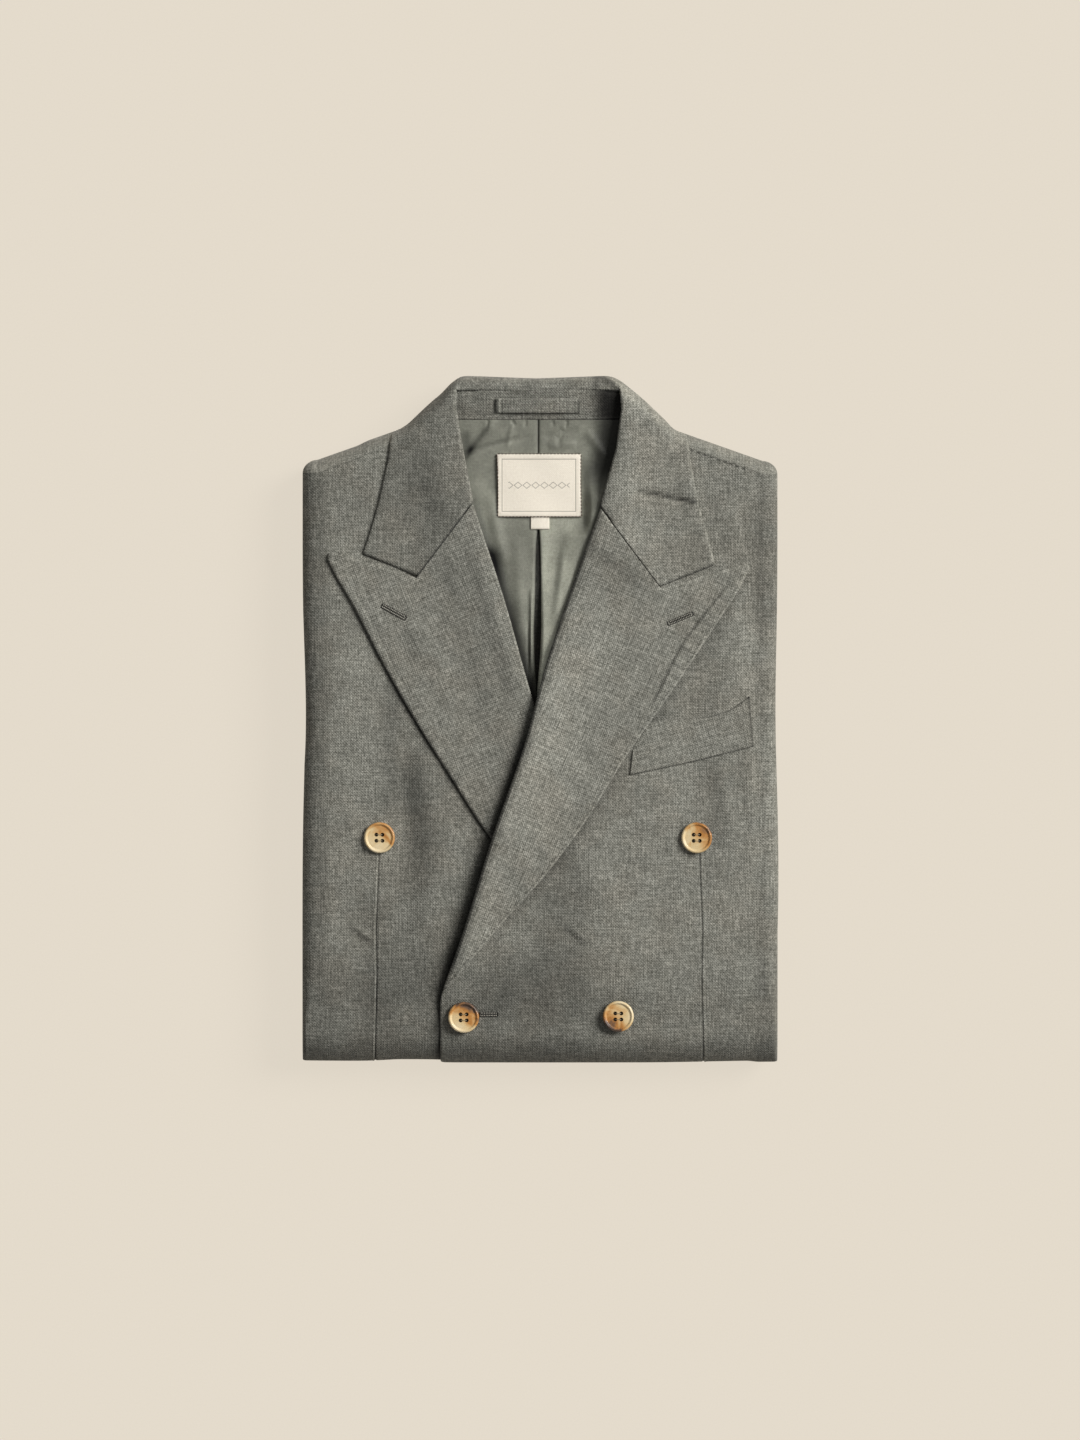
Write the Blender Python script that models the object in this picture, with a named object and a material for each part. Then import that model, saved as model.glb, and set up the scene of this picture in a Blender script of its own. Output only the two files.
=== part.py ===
"""Double-breasted blazer, folded flat with its front up.

The frame is +X to the wearer's left, +Y towards the collar and +Z up, with the origin under the
middle of the folded cloth. Every piece is laid on one shared form, the folded cloth, by three numbers:
x across, s along the cloth (s is y on the top side, runs on round the bottom fold and back
underneath), and depth below the outermost skin. Tables are in millimetres, places in metres.
"""

import math

import bmesh
import bpy
import numpy as np

MM = 0.001

# Driving dimensions of the folded blazer, in millimetres
HALF_WIDTH = 156.6
WAIST_DIP = 1.8          # how far the sides pull in at the waist
NECK_X = -2.5            # middle of the neck
FOLD_Y = -208.0          # where the top side turns into the bottom fold
FOLD_RADIUS = 19.0
HEM_Y = 73.0             # the hem, underneath
SIDE_ROLL = 7.5          # height radius of the cloth's turn at the sides
SIDE_REACH = (9.5, 5.0)  # width radius of that turn, higher up and at the bottom fold
END_ROLL = 9.3           # width radius of the turn over the shoulders
CLOTH = 1.4              # wall of a front or of the back
LAPEL = 2.2              # wall of a lapel or of the collar: two cloths and canvas
LINING = 1.0             # wall of a lining, the label or the tab
WELT = 1.2               # wall of the welt or the loop
GAP = 0.3                # between pieces
UNDER_CLEAR = 3.6        # room under the inner layers for the back and the collar
ROLL_INSET = 3.6         # a front's cut edge lies this far behind the lapel's roll
ROLL_SPREAD = 9.0        # the linings run on this far under the rolls
CENTRE_Y = 1.55          # moves the whole, so that its middle is over the origin

FOLD_LENGTH = math.pi * FOLD_RADIUS
UNDER_START = FOLD_Y - FOLD_LENGTH
HEM_S = UNDER_START - (HEM_Y - FOLD_Y)
OVERLAP = CLOTH + GAP    # depth that one front takes under the other
ROLL_TURN = (30, 60, 90, 120, 150)     # degrees round the cloth's turn at a side
NOSE_TURN = (20, 55, 90, 125, 160)     # degrees round the fold of a lapel

# Height of the top side along the middle: y, z
TOP_HEIGHT = ((-208, 38.0), (-150, 40.0), (-60, 41.5), (60, 40.5), (140, 36.5), (225, 33.5))
# Top end of the folded cloth: distance from the middle of the neck, y
TOP_EDGE = (
    (0, 221.3),
    (45, 223.0),
    (50, 222.6),
    (54, 219.9),
    (91, 189.8),
    (150, 169.0),
    (158, 166.2),
)
# Hollow of the neck opening: y, depth, half-width of its floor
NECK_HOLLOW = (
    (-170, 0.0, 2.0),
    (-40, 4.0, 2.0),
    (14, 6.0, 6.0),
    (78, 8.0, 22.0),
    (142, 9.0, 42.0),
    (180, 8.0, 50.0),
    (196, 6.5, 54.0),
    (217, 1.7, 54.0),
    (225, 1.5, 54.0),
)
HOLLOW_SLOPE = 45.0
PRESSED = 0.3            # share of the depth of inner cloth that counts towards the fold's edge
FRONT_TOP = 168.0        # s of a front's first row, and how high that row may rise to the shoulder
FRONT_HIGHEST = 188.0

# Plan lines of the cut edges: x, s
ROLL_RIGHT = ((-54.8, 197.3), (-50.8, 177.5), (-43.6, 142.6), (-23.8, 78.5), (-5.3, 13.9))
ROLL_LEFT = ((52.8, 204.6), (50.2, 177.5), (39.6, 139.3), (18.5, 78.5), (4.0, 35.0), (-9.2, -14.5),
             (-31.7, -79.9), (-51.5, -143.9), (-64.0, -179.5), (-65.3, -187.0))
LAPEL_EDGE_RIGHT = ((-81.2, 91.6), (-139.3, 107.4), (-122.8, 73.9), (-103.0, 35.6), (-80.5, -4.0),
                    (-59.4, -37.6), (-31.7, -79.9), (15.2, -128.0), (57.0, -177.0))
LAPEL_EDGE_LEFT = ((79.2, 84.7), (137.9, 100.6), (111.5, 54.8), (79.2, 6.6), (56.8, -25.1),
                   (29.0, -69.3), (0.0, -107.6), (-18.5, -128.0), (-42.9, -156.4), (-60.4, -177.4))
RIGHT_UNDER = ((28.4, -80.0), (60.2, -178.5))      # the right roll, on inside the left front
WELT_LOWER = ((59.5, -37.9), (101.0, -29.0), (140.6, -19.1))
WELT_UPPER = ((61.5, -20.5), (72.0, -4.5), (84.0, -1.5), (98.0, -0.8), (111.5, 0.7), (124.1, 4.6),
              (137.9, 13.9))

BUTTONS = (
    ("button_upper_right", -105.6, -79.2),
    ("button_upper_left", 103.0, -79.2),
    ("button_lower_right", -50.2, -197.3),
    ("button_lower_left", 51.5, -196.7),
)


# --- scene, materials and meshes -------------------------------------------------------------

def clear_scene():
    for item in list(bpy.data.objects):
        bpy.data.objects.remove(item, do_unlink=True)


def material(name, colour, roughness):
    made = bpy.data.materials.get(name) or bpy.data.materials.new(name)
    made.use_nodes = True
    shader = made.node_tree.nodes["Principled BSDF"]
    shader.inputs["Base Color"].default_value = (*colour, 1.0)
    shader.inputs["Roughness"].default_value = roughness
    shader.inputs["Metallic"].default_value = 0.0
    return made


def add_object(name, points, faces, finish):
    """One closed body from points in millimetres."""
    mesh = bpy.data.meshes.new(name)
    mesh.from_pydata((np.asarray(points) * MM).tolist(), [], faces)
    mesh.materials.append(finish)
    form = bmesh.new()
    form.from_mesh(mesh)
    bmesh.ops.triangulate(form, faces=form.faces[:])
    bmesh.ops.recalc_face_normals(form, faces=form.faces[:])
    form.to_mesh(mesh)
    form.free()
    mesh.shade_smooth()
    mesh.set_sharp_from_angle(angle=math.radians(40))
    item = bpy.data.objects.new(name, mesh)
    item.location.y = CENTRE_Y * MM
    bpy.context.scene.collection.objects.link(item)
    return item


def wall(name, outer, inner, finish):
    """A sheet of cloth: two grids of points of the same shape, joined round their edges."""
    rows, columns = outer.shape[:2]
    count = rows * columns
    points = np.concatenate([outer.reshape(-1, 3), inner.reshape(-1, 3)])
    faces = []
    for r in range(rows - 1):
        for c in range(columns - 1):
            a = r * columns + c
            quad = (a, a + 1, a + columns + 1, a + columns)
            faces.append(quad)
            faces.append(tuple(count + i for i in reversed(quad)))
    top = list(range(columns))
    right = [r * columns + columns - 1 for r in range(rows)]
    bottom = [(rows - 1) * columns + c for c in reversed(range(columns))]
    left = [r * columns for r in reversed(range(rows))]
    for side in (top, right, bottom, left):
        for a, b in zip(side, side[1:]):
            faces.append((b, a, count + a, count + b))
    return add_object(name, points, faces, finish)


def loft(name, rings, finish):
    """A solid through closed rings of the same number of points, capped at both ends."""
    rows, columns = rings.shape[:2]
    faces = []
    for r in range(rows - 1):
        for c in range(columns):
            d = (c + 1) % columns
            a = r * columns
            b = a + columns
            faces.append((a + c, a + d, b + d, b + c))
    half = columns // 2
    for start in (0, (rows - 1) * columns):
        for c in range(half):
            quad = (c, c + 1, (columns - 1 - c) % columns, (columns - c) % columns)
            faces.append(tuple(dict.fromkeys(start + i for i in quad)))
    faces = [face for face in faces if len(face) > 2]
    return add_object(name, rings.reshape(-1, 3), faces, finish)


# --- the shared form ---------------------------------------------------------------------------

def smooth(value):
    """0 below 0, 1 above 1, an S-curve between."""
    t = np.clip(value, 0.0, 1.0)
    return t * t * (3.0 - 2.0 * t)


def table(rows, value, column=1):
    """A column of a table at a value of its first column, straight between the rows."""
    rows = sorted(rows)
    keys = np.array([row[0] for row in rows], float)
    values = np.array([row[column] for row in rows], float)
    return np.interp(value, keys, values)


def half_width(y):
    return HALF_WIDTH - WAIST_DIP * np.exp(-((y / 60.0) ** 2))


def side_reach(y):
    return SIDE_REACH[0] + (SIDE_REACH[1] - SIDE_REACH[0]) * smooth((-165.0 - y) / 40.0)


def fold_reach(depth):
    """How far in from the bottom fold a depth lies: the side's turn is pressed towards the edge."""
    skin = 2 * CLOTH + 2 * GAP
    return np.minimum(depth, skin) + PRESSED * np.maximum(depth - skin, 0.0)


def top_edge(x):
    return table(TOP_EDGE, np.abs(x - NECK_X))


def height(x, y):
    """Height of the skin on the top side, before the edges turn: a low crown."""
    return table(TOP_HEIGHT, y) - 2.5 * (np.abs(x) / 147.0) ** 3


def hollow(x, y):
    """Depth of the neck opening's floor below the skin."""
    floor = table(NECK_HOLLOW, y, 2)
    rise = smooth((np.abs(x - NECK_X) - floor) / HOLLOW_SLOPE)
    return table(NECK_HOLLOW, y, 1) * (1.0 - rise)


def place(x, s, depth):
    """The point at x across and s along the cloth, depth below the skin."""
    x, s, depth = np.broadcast_arrays(*(np.asarray(v, float) for v in (x, s, depth)))
    arc = FOLD_Y - s
    angle = np.clip(arc / FOLD_RADIUS, 0.0, math.pi)
    top_radius = height(x, FOLD_Y) - FOLD_RADIUS
    radius = FOLD_RADIUS + (top_radius - FOLD_RADIUS) * (1.0 + np.cos(angle)) / 2.0
    under_y = FOLD_Y + (arc - FOLD_LENGTH)
    fold_y = FOLD_Y - (radius - fold_reach(depth)) * np.sin(angle)
    y = np.where(arc <= 0, s, np.where(arc >= FOLD_LENGTH, under_y, fold_y))
    turned = FOLD_RADIUS + (radius - depth) * np.cos(angle)
    lower_z = np.where(arc >= FOLD_LENGTH, depth, turned)
    z = np.where(arc <= 0, height(x, np.maximum(s, FOLD_Y)) - depth, lower_z)
    return np.stack([x, y, z], axis=-1)


def y_of(s):
    """The plan y of a place along the cloth, for reading a width."""
    return np.where(s < UNDER_START, FOLD_Y + (UNDER_START - s), np.maximum(s, FOLD_Y))


def row_line(s, x, top, highest=300.0):
    """s along a row that is straight across below the lapels and follows the shoulders above them."""
    start = 60.0
    share = np.clip((s - start) / (top - start), 0.0, 1.0)
    end = np.minimum(top_edge(x), highest) - END_ROLL
    return np.where(s > start, start + share * (end - start), s)


# --- the folded inner layers -------------------------------------------------------------------

def ring_profile(width, reach, thickness, skin):
    """Right half of a section: x, depth, and 1 where the point lies on the top skin.

    From the middle of the skin out over the side roll of the fronts, into the groove below it,
    round the second roll of the layers inside, and back along the inner face."""
    flat = width - reach
    rows = [(share * flat, skin, 1) for share in (0.0, 0.18, 0.33, 0.39, 0.5, 0.62, 0.74, 0.87, 1.0)]
    room = skin + GAP
    for degrees in ROLL_TURN:
        turn = math.radians(degrees)
        rows.append((flat + (reach - room) * math.sin(turn),
                     SIDE_ROLL - (SIDE_ROLL - room) * math.cos(turn), 0))
    start = 2 * SIDE_ROLL + 0.2
    rows.append((width - 9.0, start - 0.9, 0))
    middle = (start + thickness) / 2
    radius = (thickness - start) / 2
    for degrees in (20, 70, 110, 160):
        turn = math.radians(degrees)
        rows.append((width - 9.0 + 6.0 * math.sin(turn), middle - radius * math.cos(turn), 0))
    rows += [(share * flat, thickness, 0) for share in (0.9, 0.45, 0.0)]
    return np.array(rows)


def folded_layers(finish):
    """Hidden layers: an upper slab, the bottom fold and a lower slab, one solid with a slit between."""
    slit = 0.2
    rings = []

    def ring(s, shrink=0.0, end=0.0):
        """One section; shrink (radians) turns it in at an open end, which lies at s + end."""
        y = float(y_of(s))
        width = float(half_width(y))
        side = float(side_reach(y))
        turned = smooth((FOLD_Y - s) / FOLD_LENGTH)
        skin = CLOTH + GAP + (CLOTH + GAP) * float(turned)
        upper = s >= FOLD_Y
        if upper:
            drop = float(smooth((y - 78.0) / 45.0))
            level = float(height(width - side, y))
            inner = (level - FOLD_RADIUS - slit) * (1 - drop) + (level - UNDER_CLEAR) * drop
        else:
            start = float(height(width - side, FOLD_Y)) - FOLD_RADIUS
            inner = start + (FOLD_RADIUS - start) * float(turned) - slit
        half = ring_profile(width, side, inner, skin)
        mirrored = half[-2:0:-1] * (-1, 1, 1)
        both = np.concatenate([half, mirrored])
        x, depth, top = both.T
        across = np.clip((np.abs(x) - (width - side)) / side, 0.0, 1.0)
        x = x + NECK_X * (1 - np.abs(x) / width) ** 2 * top
        if upper:
            depth = depth + top * hollow(NECK_X + 0.85 * (x - NECK_X), y) * 1.08
        middle = inner / 2
        depth = middle + (depth - middle) * math.cos(shrink)
        reach = math.sin(shrink)
        x = x - np.sign(x) * 7.0 * reach * across
        along = row_line(s, x, 166.0) if upper else np.full_like(x, s)
        along = along + end * reach * np.sqrt(1 - across ** 2 / 2)
        return place(x, along, depth)

    for degrees in (80, 55, 28):
        rings.append(ring(162.0, math.radians(degrees), END_ROLL - 6.0))
    for s in (162.0, 145.0, 124.0, 108.0, 92.0, 78.0, 60.0, 35.0, 10.0, -20.0, -60.0, -110.0, -160.0):
        rings.append(ring(s))
    for step in range(7):
        rings.append(ring(FOLD_Y - FOLD_LENGTH * step / 6))
    for s in (UNDER_START - 60.0, UNDER_START - 140.0, UNDER_START - 200.0, HEM_S + 12.0):
        rings.append(ring(s))
    for degrees in (30, 70):
        rings.append(ring(HEM_S + 12.0, math.radians(degrees), -9.0))
    return loft("folded_layers", np.array(rings), finish)


# --- the fronts --------------------------------------------------------------------------------

def line_x(points, s):
    """x of an edge that runs down the cloth, at s."""
    return table([(y, x) for x, y in points], s)


def front_grid(edge, side, skin, columns):
    """Rows down a front from the shoulder seam to the hem; skin(x, s) is the depth of this face."""
    rows = [FRONT_TOP, 156.0, 142.0, 126.0, 106.0, 82.0, 60.0, 37.0, 14.0, -10.0, -35.0, -58.0, -80.0]
    rows += [-112.0, -144.0, -162.0, -180.0, -190.0, -199.0]
    rows += [FOLD_Y - FOLD_LENGTH * step / 6 for step in range(7)]
    rows += [UNDER_START - 60.0, UNDER_START - 140.0, UNDER_START - 200.0, HEM_S]
    grid = []
    for s in rows:
        reach = float(side_reach(y_of(s)))
        flat = float(half_width(y_of(s))) - reach
        start = side * float(line_x(edge, s))
        for _ in range(4):
            start = side * float(line_x(edge, row_line(s, side * start, FRONT_TOP, FRONT_HIGHEST)))
        x = start + (flat - start) * np.linspace(0.0, 1.0, columns)
        depth = skin(side * x, s)
        roll_x = []
        roll_depth = []
        for degrees in ROLL_TURN:
            turn = math.radians(degrees)
            roll_x.append(flat + (reach - depth[-1]) * math.sin(turn))
            roll_depth.append(SIDE_ROLL - (SIDE_ROLL - depth[-1]) * math.cos(turn))
        x = side * np.concatenate([x, roll_x])
        depth = np.concatenate([depth, roll_depth])
        edge_x = np.clip(x, -flat, flat)
        grid.append(place(x, row_line(s, edge_x, FRONT_TOP, FRONT_HIGHEST), depth))
    return np.array(grid)


def skin_right(x, s):
    """Depth of the right front's outer face: it goes one cloth deeper under the left front below."""
    under = smooth((FOLD_Y - s) / FOLD_LENGTH)
    covered = 1.0 - smooth((-x - 68.0) / 22.0)
    return OVERLAP * under * covered


def skin_left(x, s):
    """Depth of the left front's outer face: over the right front and its lapel where they meet."""
    across = 1.0 - smooth((x - 64.0) / 85.0)
    crossing = 1.0 - smooth((s - 18.0) / 80.0)
    over_lapel = smooth((s + 207.0) / 27.0)
    before_fold = 1.0 - smooth((FOLD_Y - s) / FOLD_LENGTH)
    return -across * crossing * (OVERLAP * before_fold + (LAPEL + GAP) * over_lapel)


def front_right(finish):
    edge = [(x - ROLL_INSET, y) for x, y in ROLL_RIGHT + RIGHT_UNDER] + [(62.0, -190.0)]
    outer = front_grid(edge, -1, skin_right, 9)
    inner = front_grid(edge, -1, lambda x, s: skin_right(x, s) + CLOTH, 9)
    return wall("front_right", outer, inner, finish)


def front_left(finish):
    edge = [(x + ROLL_INSET, y) for x, y in ROLL_LEFT[:-1]] + [ROLL_LEFT[-1]]
    outer = front_grid(edge, 1, skin_left, 10)
    inner = front_grid(edge, 1, lambda x, s: skin_left(x, s) + CLOTH, 10)
    return wall("front_left", outer, inner, finish)


# --- back over the shoulders -------------------------------------------------------------------

BACK_START = 100.2       # x beside the collar's leaf


def back_shoulder(name, side, finish):
    """The back from the forward seam over the shoulder's end and under."""
    faces = []
    for skin in (0.0, CLOTH):
        grid = []
        for degrees in (0, 22, 45, 68, 90, 112, 135, 158, 180):
            turn = math.radians(degrees)
            reach = math.sin(turn)
            flat = HALF_WIDTH - SIDE_REACH[0]
            across = np.array([0.0] * 5 + [math.sin(math.radians(a)) for a in ROLL_TURN[:3]])
            inside = np.concatenate([np.linspace(BACK_START, flat, 5), [flat] * 3])
            x = inside + (SIDE_REACH[0] - skin) * across * math.sqrt(1 - reach ** 2 / 2)
            start = top_edge(side * inside) - END_ROLL + 0.3
            y = start + (END_ROLL - skin) * reach * np.sqrt(1 - across ** 2 / 2)
            level = height(side * x, start)
            middle = level / 2
            edge = (SIDE_ROLL - skin) * (1 - np.sqrt(1 - across ** 2))
            z = middle + (middle - skin - edge) * math.cos(turn)
            grid.append(np.stack([side * x, y, z], axis=-1))
        faces.append(np.array(grid))
    return wall(name, faces[0], faces[1], finish)


# --- lapels and collar ---------------------------------------------------------------------------

def resample(points, count):
    """Points evenly along a line through the given ones."""
    points = np.array(points, float)
    steps = np.linalg.norm(np.diff(points, axis=0), axis=1)
    along = np.concatenate([[0.0], np.cumsum(steps)])
    at = np.linspace(0.0, along[-1], count)
    return np.stack([np.interp(at, along, points[:, k]) for k in (0, 1)], axis=-1)


def laid(points, depth):
    return place(points[..., 0], points[..., 1], depth)


def strip(inner_line, outer_line, columns):
    """Plan grid between two lines with the same number of points."""
    share = np.linspace(0.0, 1.0, columns)[None, :, None]
    return inner_line[:, None, :] * (1 - share) + outer_line[:, None, :] * share


NOSE_REACH = 2.1         # how far the rounded nose of a fold runs ahead of the flat sheet


def nosed_wall(name, plan, base, finish, drop):
    """A sheet on base(x, s), with a rounded nose of given drop at its first column, the fold."""
    first = plan[:, 0]
    ahead = plan[:, 1] - first
    ahead /= np.linalg.norm(ahead, axis=1, keepdims=True)
    bed = base(plan[..., 0], plan[..., 1])
    radius = (LAPEL + drop) / 2
    plan = plan.copy()
    plan[:, 0] = first + ahead * NOSE_REACH
    outer = [laid(plan, bed - LAPEL)]
    inner = [laid(plan, bed)]
    nose_outer = []
    nose_inner = []
    for degrees in NOSE_TURN:
        turn = math.radians(degrees)
        at = first + ahead * NOSE_REACH * (1 - math.sin(turn))
        nose_outer.append(laid(at, bed[:, 0] - LAPEL + radius + radius * math.cos(turn)))
        nose_inner.append(laid(plan[:, 0], bed[:, 0] + 0.9 * drop * (180 - degrees) / 180.0))
    outer = np.concatenate([np.stack(nose_outer, axis=1), outer[0]], axis=1)
    inner = np.concatenate([np.stack(nose_inner, axis=1), inner[0]], axis=1)
    return wall(name, outer, inner, finish)


def lapel_plan(roll, edge, end, rows):
    """Plan of a lapel: its top row runs down the gorge to the notch and out to the peak."""
    middle = resample([edge[0], end], rows)
    outer = resample(edge[1:], rows)
    return np.concatenate([strip(roll, middle, 4), strip(middle, outer, 4)[:, 1:]], axis=1)


def lapel_right(finish):
    """Right lapel, from its gorge to where it ends inside the left front's overlap."""
    roll = resample(((-44.2, 140.6),) + ROLL_RIGHT[3:] + RIGHT_UNDER, 16)
    plan = lapel_plan(roll, LAPEL_EDGE_RIGHT, (58.6, -178.0), 16)
    return nosed_wall("lapel_right", plan, lambda x, s: np.full_like(x, -GAP), finish, OVERLAP)


def lapel_left(finish):
    """Left lapel, the one on top, from its gorge to just above the fastening."""
    roll = resample(((39.6, 137.2),) + ROLL_LEFT[3:-2] + ((-63.4, -178.0),), 16)
    plan = lapel_plan(roll, LAPEL_EDGE_LEFT, (-61.9, -177.7), 16)
    return nosed_wall("lapel_left", plan, lambda x, s: skin_left(x, s) - GAP, finish, OVERLAP)


# Collar's two edges, in matching stations from the right leaf's end round the neck: x, s.
# Past the top edge, s runs on over the end and down the back.
COLLAR_INNER = (
    (-80.9, 93.2),
    (-62.0, 118.2),
    (-44.0, 142.2),
    (-50.8, 177.5),
    (-55.0, 203.0),
    (-52.5, 217.0),
    (-25.0, 216.4),
    (-2.5, 215.9),
    (20.0, 216.4),
    (47.5, 217.0),
    (52.8, 203.0),
    (50.2, 177.5),
    (39.4, 139.1),
    (59.4, 112.6),
    (78.9, 86.3),
)
COLLAR_OUTER = (
    (-116.2, 107.8),
    (-111.5, 122.0),
    (-106.0, 141.0),
    (-99.6, 170.0),
    (-97.5, 190.0),
    (-90.0, 222.0),
    (-40.0, 254.0),
    (-2.5, 258.0),
    (35.0, 254.0),
    (85.0, 222.0),
    (96.5, 190.0),
    (98.6, 170.0),
    (104.2, 140.0),
    (109.6, 121.0),
    (114.8, 100.6),
)


def over_end(x, v, depth):
    """The point at x and v along the collar's cloth, which turns over the top end of the fold."""
    x, v, depth = np.broadcast_arrays(*(np.asarray(value, float) for value in (x, v, depth)))
    start = top_edge(x) - END_ROLL
    level = height(x, start)
    middle = (level + 2 * GAP + LAPEL) / 2
    angle = np.clip((v - start) / (END_ROLL + 8.0) * 1.5, 0.0, 2.9)
    y = np.where(v > start, start + (END_ROLL - depth) * np.sin(angle), v)
    z = np.where(v > start, middle + (level - middle - depth) * np.cos(angle), height(x, v) - depth)
    return np.stack([x, y, z], axis=-1)


def halved(points):
    """The line's points with the middle of each step added."""
    points = np.array(points)
    line = np.repeat(points, 2, axis=0)[:-1]
    line[1::2] = (points[:-1] + points[1:]) / 2
    return line


def collar(finish):
    """Collar: two leaves in front, joined behind the neck."""
    plan = strip(halved(COLLAR_INNER), halved(COLLAR_OUTER), 10)
    bed = np.where(plan[..., 0] > 0, skin_left(plan[..., 0], plan[..., 1]), 0.0) - GAP
    outer = over_end(plan[..., 0], plan[..., 1], bed - LAPEL)
    inner = over_end(plan[..., 0], plan[..., 1], bed)
    return wall("collar", outer, inner, finish)


# --- inside of the neck --------------------------------------------------------------------------

def neck_sheet(name, left, right, rows, thickness, lift, finish, columns=6):
    """A sheet on the floor of the neck opening, between two x lines; lift raises it."""
    grid = []
    for s in rows:
        grid.append([(x, s) for x in np.linspace(left(s), right(s), columns)])
    plan = np.array(grid)
    floor = hollow(plan[..., 0], plan[..., 1]) - lift
    return wall(name, laid(plan, floor), laid(plan, floor + thickness), finish)


def collar_stand(finish):
    rows = (215.0, 209.0, 203.0, 196.4)
    return neck_sheet("collar_stand", lambda s: -54.0, lambda s: 50.0, rows, CLOTH, 0.0, finish, 8)


def linings(finish):
    """Back lining in two halves, from the stand down into the fronts' crossing."""
    rows = (196.0, 180.0, 160.0, 141.0, 120.0, 99.0, 78.0, 56.0, 35.0, 14.0, -8.0)
    centre = -1.2

    def right_edge(s):
        return line_x(ROLL_RIGHT, s) - ROLL_SPREAD

    def left_edge(s):
        return line_x(ROLL_LEFT, s) + ROLL_SPREAD

    neck_sheet("lining_right", right_edge, lambda s: centre, rows, LINING, 0.0, finish, 5)
    neck_sheet("lining_left", lambda s: centre + GAP, left_edge, rows, LINING, 0.0, finish, 5)


LOOP_SLACK = 1.2


def hanger_loop(finish):
    """Loop of self cloth on the stand, sewn at both ends and slack between them."""
    outer = []
    inner = []
    for s in (209.9, 200.7):
        x = np.linspace(-29.0, 26.4, 9)
        bow = LOOP_SLACK * np.sin(np.linspace(0.0, math.pi, 9))
        floor = hollow(x, np.full_like(x, s))
        outer.append(place(x, s, floor - GAP - WELT - bow))
        inner.append(place(x, s, floor - GAP - bow))
    return wall("hanger_loop", np.array(outer), np.array(inner), finish)


def label(finish):
    rows = np.linspace(173.6, 132.4, 5)
    return neck_sheet("label", lambda s: -28.4, lambda s: 27.0, rows, LINING, LINING + GAP, finish, 5)


def size_tab(finish):
    rows = (132.0, 124.1)
    return neck_sheet("size_tab", lambda s: -5.9, lambda s: 5.9, rows, LINING, LINING + GAP, finish, 3)


# --- breast welt and buttons ---------------------------------------------------------------------

def breast_welt(finish):
    """Welt of the breast pocket, cut flush with the lapel that lies over it."""
    upper = np.array(WELT_UPPER)
    plan = strip(resample(WELT_LOWER, len(upper)), upper, 4)
    bed = skin_left(plan[..., 0], plan[..., 1]) - GAP
    return wall("breast_welt", laid(plan, bed - WELT), laid(plan, bed), finish)


# Half section of a button from the middle of its face round to the middle of its back: radius, z
BUTTON_PROFILE = ((0.0, 3.0), (5.6, 3.0), (7.4, 3.5), (8.9, 4.2), (9.8, 3.7), (10.15, 2.6), (9.6, 1.2),
                  (7.5, 0.2), (0.0, 0.0))
BUTTON_SEGMENTS = 24
BUTTON_SEAT = 8.0        # radius on which its back meets the cloth
HOLE_RADIUS = 0.95
HOLE_OFFSET = 2.0        # each way from the button's middle


def turned(name, profile, segments, finish):
    """A profile turned round the z axis, closed at both ends on the axis."""
    points = [(0.0, 0.0, profile[0][1])]
    for radius, z in profile[1:-1]:
        for k in range(segments):
            turn = 2 * math.pi * k / segments
            points.append((radius * math.cos(turn), radius * math.sin(turn), z))
    points.append((0.0, 0.0, profile[-1][1]))
    last = len(points) - 1
    faces = []
    for k in range(segments):
        n = (k + 1) % segments
        faces.append((0, 1 + k, 1 + n))
        for ring in range(len(profile) - 3):
            a = 1 + ring * segments
            b = a + segments
            faces.append((a + k, b + k, b + n, a + n))
        a = 1 + (len(profile) - 3) * segments
        faces.append((a + k, last, a + n))
    return add_object(name, points, faces, finish)


def button(name, x, y, finish):
    """A four-hole button with a raised rim, its holes cut through, seated on the cloth under it."""
    item = turned(name, BUTTON_PROFILE, BUTTON_SEGMENTS, finish)
    offset = HOLE_OFFSET * MM
    for index, (dx, dy) in enumerate(((1, 1), (1, -1), (-1, 1), (-1, -1))):
        bpy.ops.mesh.primitive_cylinder_add(vertices=8, radius=HOLE_RADIUS * MM, depth=12 * MM,
                                            location=(dx * offset, dy * offset, offset))
        cutter = bpy.context.object
        cutter.name = f"cut_{name}_{index}"
        cutter.hide_render = True
        cutter.display_type = "WIRE"
        cutter.parent = item
        hole = item.modifiers.new(f"hole_{index}", "BOOLEAN")
        hole.operation = "DIFFERENCE"
        hole.object = cutter
        hole.solver = "EXACT"
    turn = np.linspace(0.0, 2 * math.pi, 13)
    around_x = x + BUTTON_SEAT * np.cos(turn)
    around_y = y + BUTTON_SEAT * np.sin(turn)
    on_left_front = x > ROLL_LEFT[-1][0]
    skin = skin_left(around_x, around_y) if on_left_front else 0.0
    base = place(around_x, around_y, skin)[:, 2].max()
    item.location = (x * MM, (y + CENTRE_Y) * MM, (base + GAP) * MM)
    return item


def main():
    clear_scene()
    linen = material("linen", (0.22, 0.21, 0.18), 0.9)
    lining_cloth = material("lining", (0.24, 0.24, 0.20), 0.5)
    woven = material("label", (0.85, 0.79, 0.66), 0.8)
    horn = material("horn", (0.62, 0.42, 0.22), 0.25)
    folded_layers(linen)
    front_right(linen)
    front_left(linen)
    back_shoulder("back_right_shoulder", -1, linen)
    back_shoulder("back_left_shoulder", 1, linen)
    lapel_right(linen)
    lapel_left(linen)
    collar(linen)
    collar_stand(linen)
    hanger_loop(linen)
    linings(lining_cloth)
    label(woven)
    size_tab(woven)
    breast_welt(linen)
    for name, x, y in BUTTONS:
        button(name, x, y, horn)


main()
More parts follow.
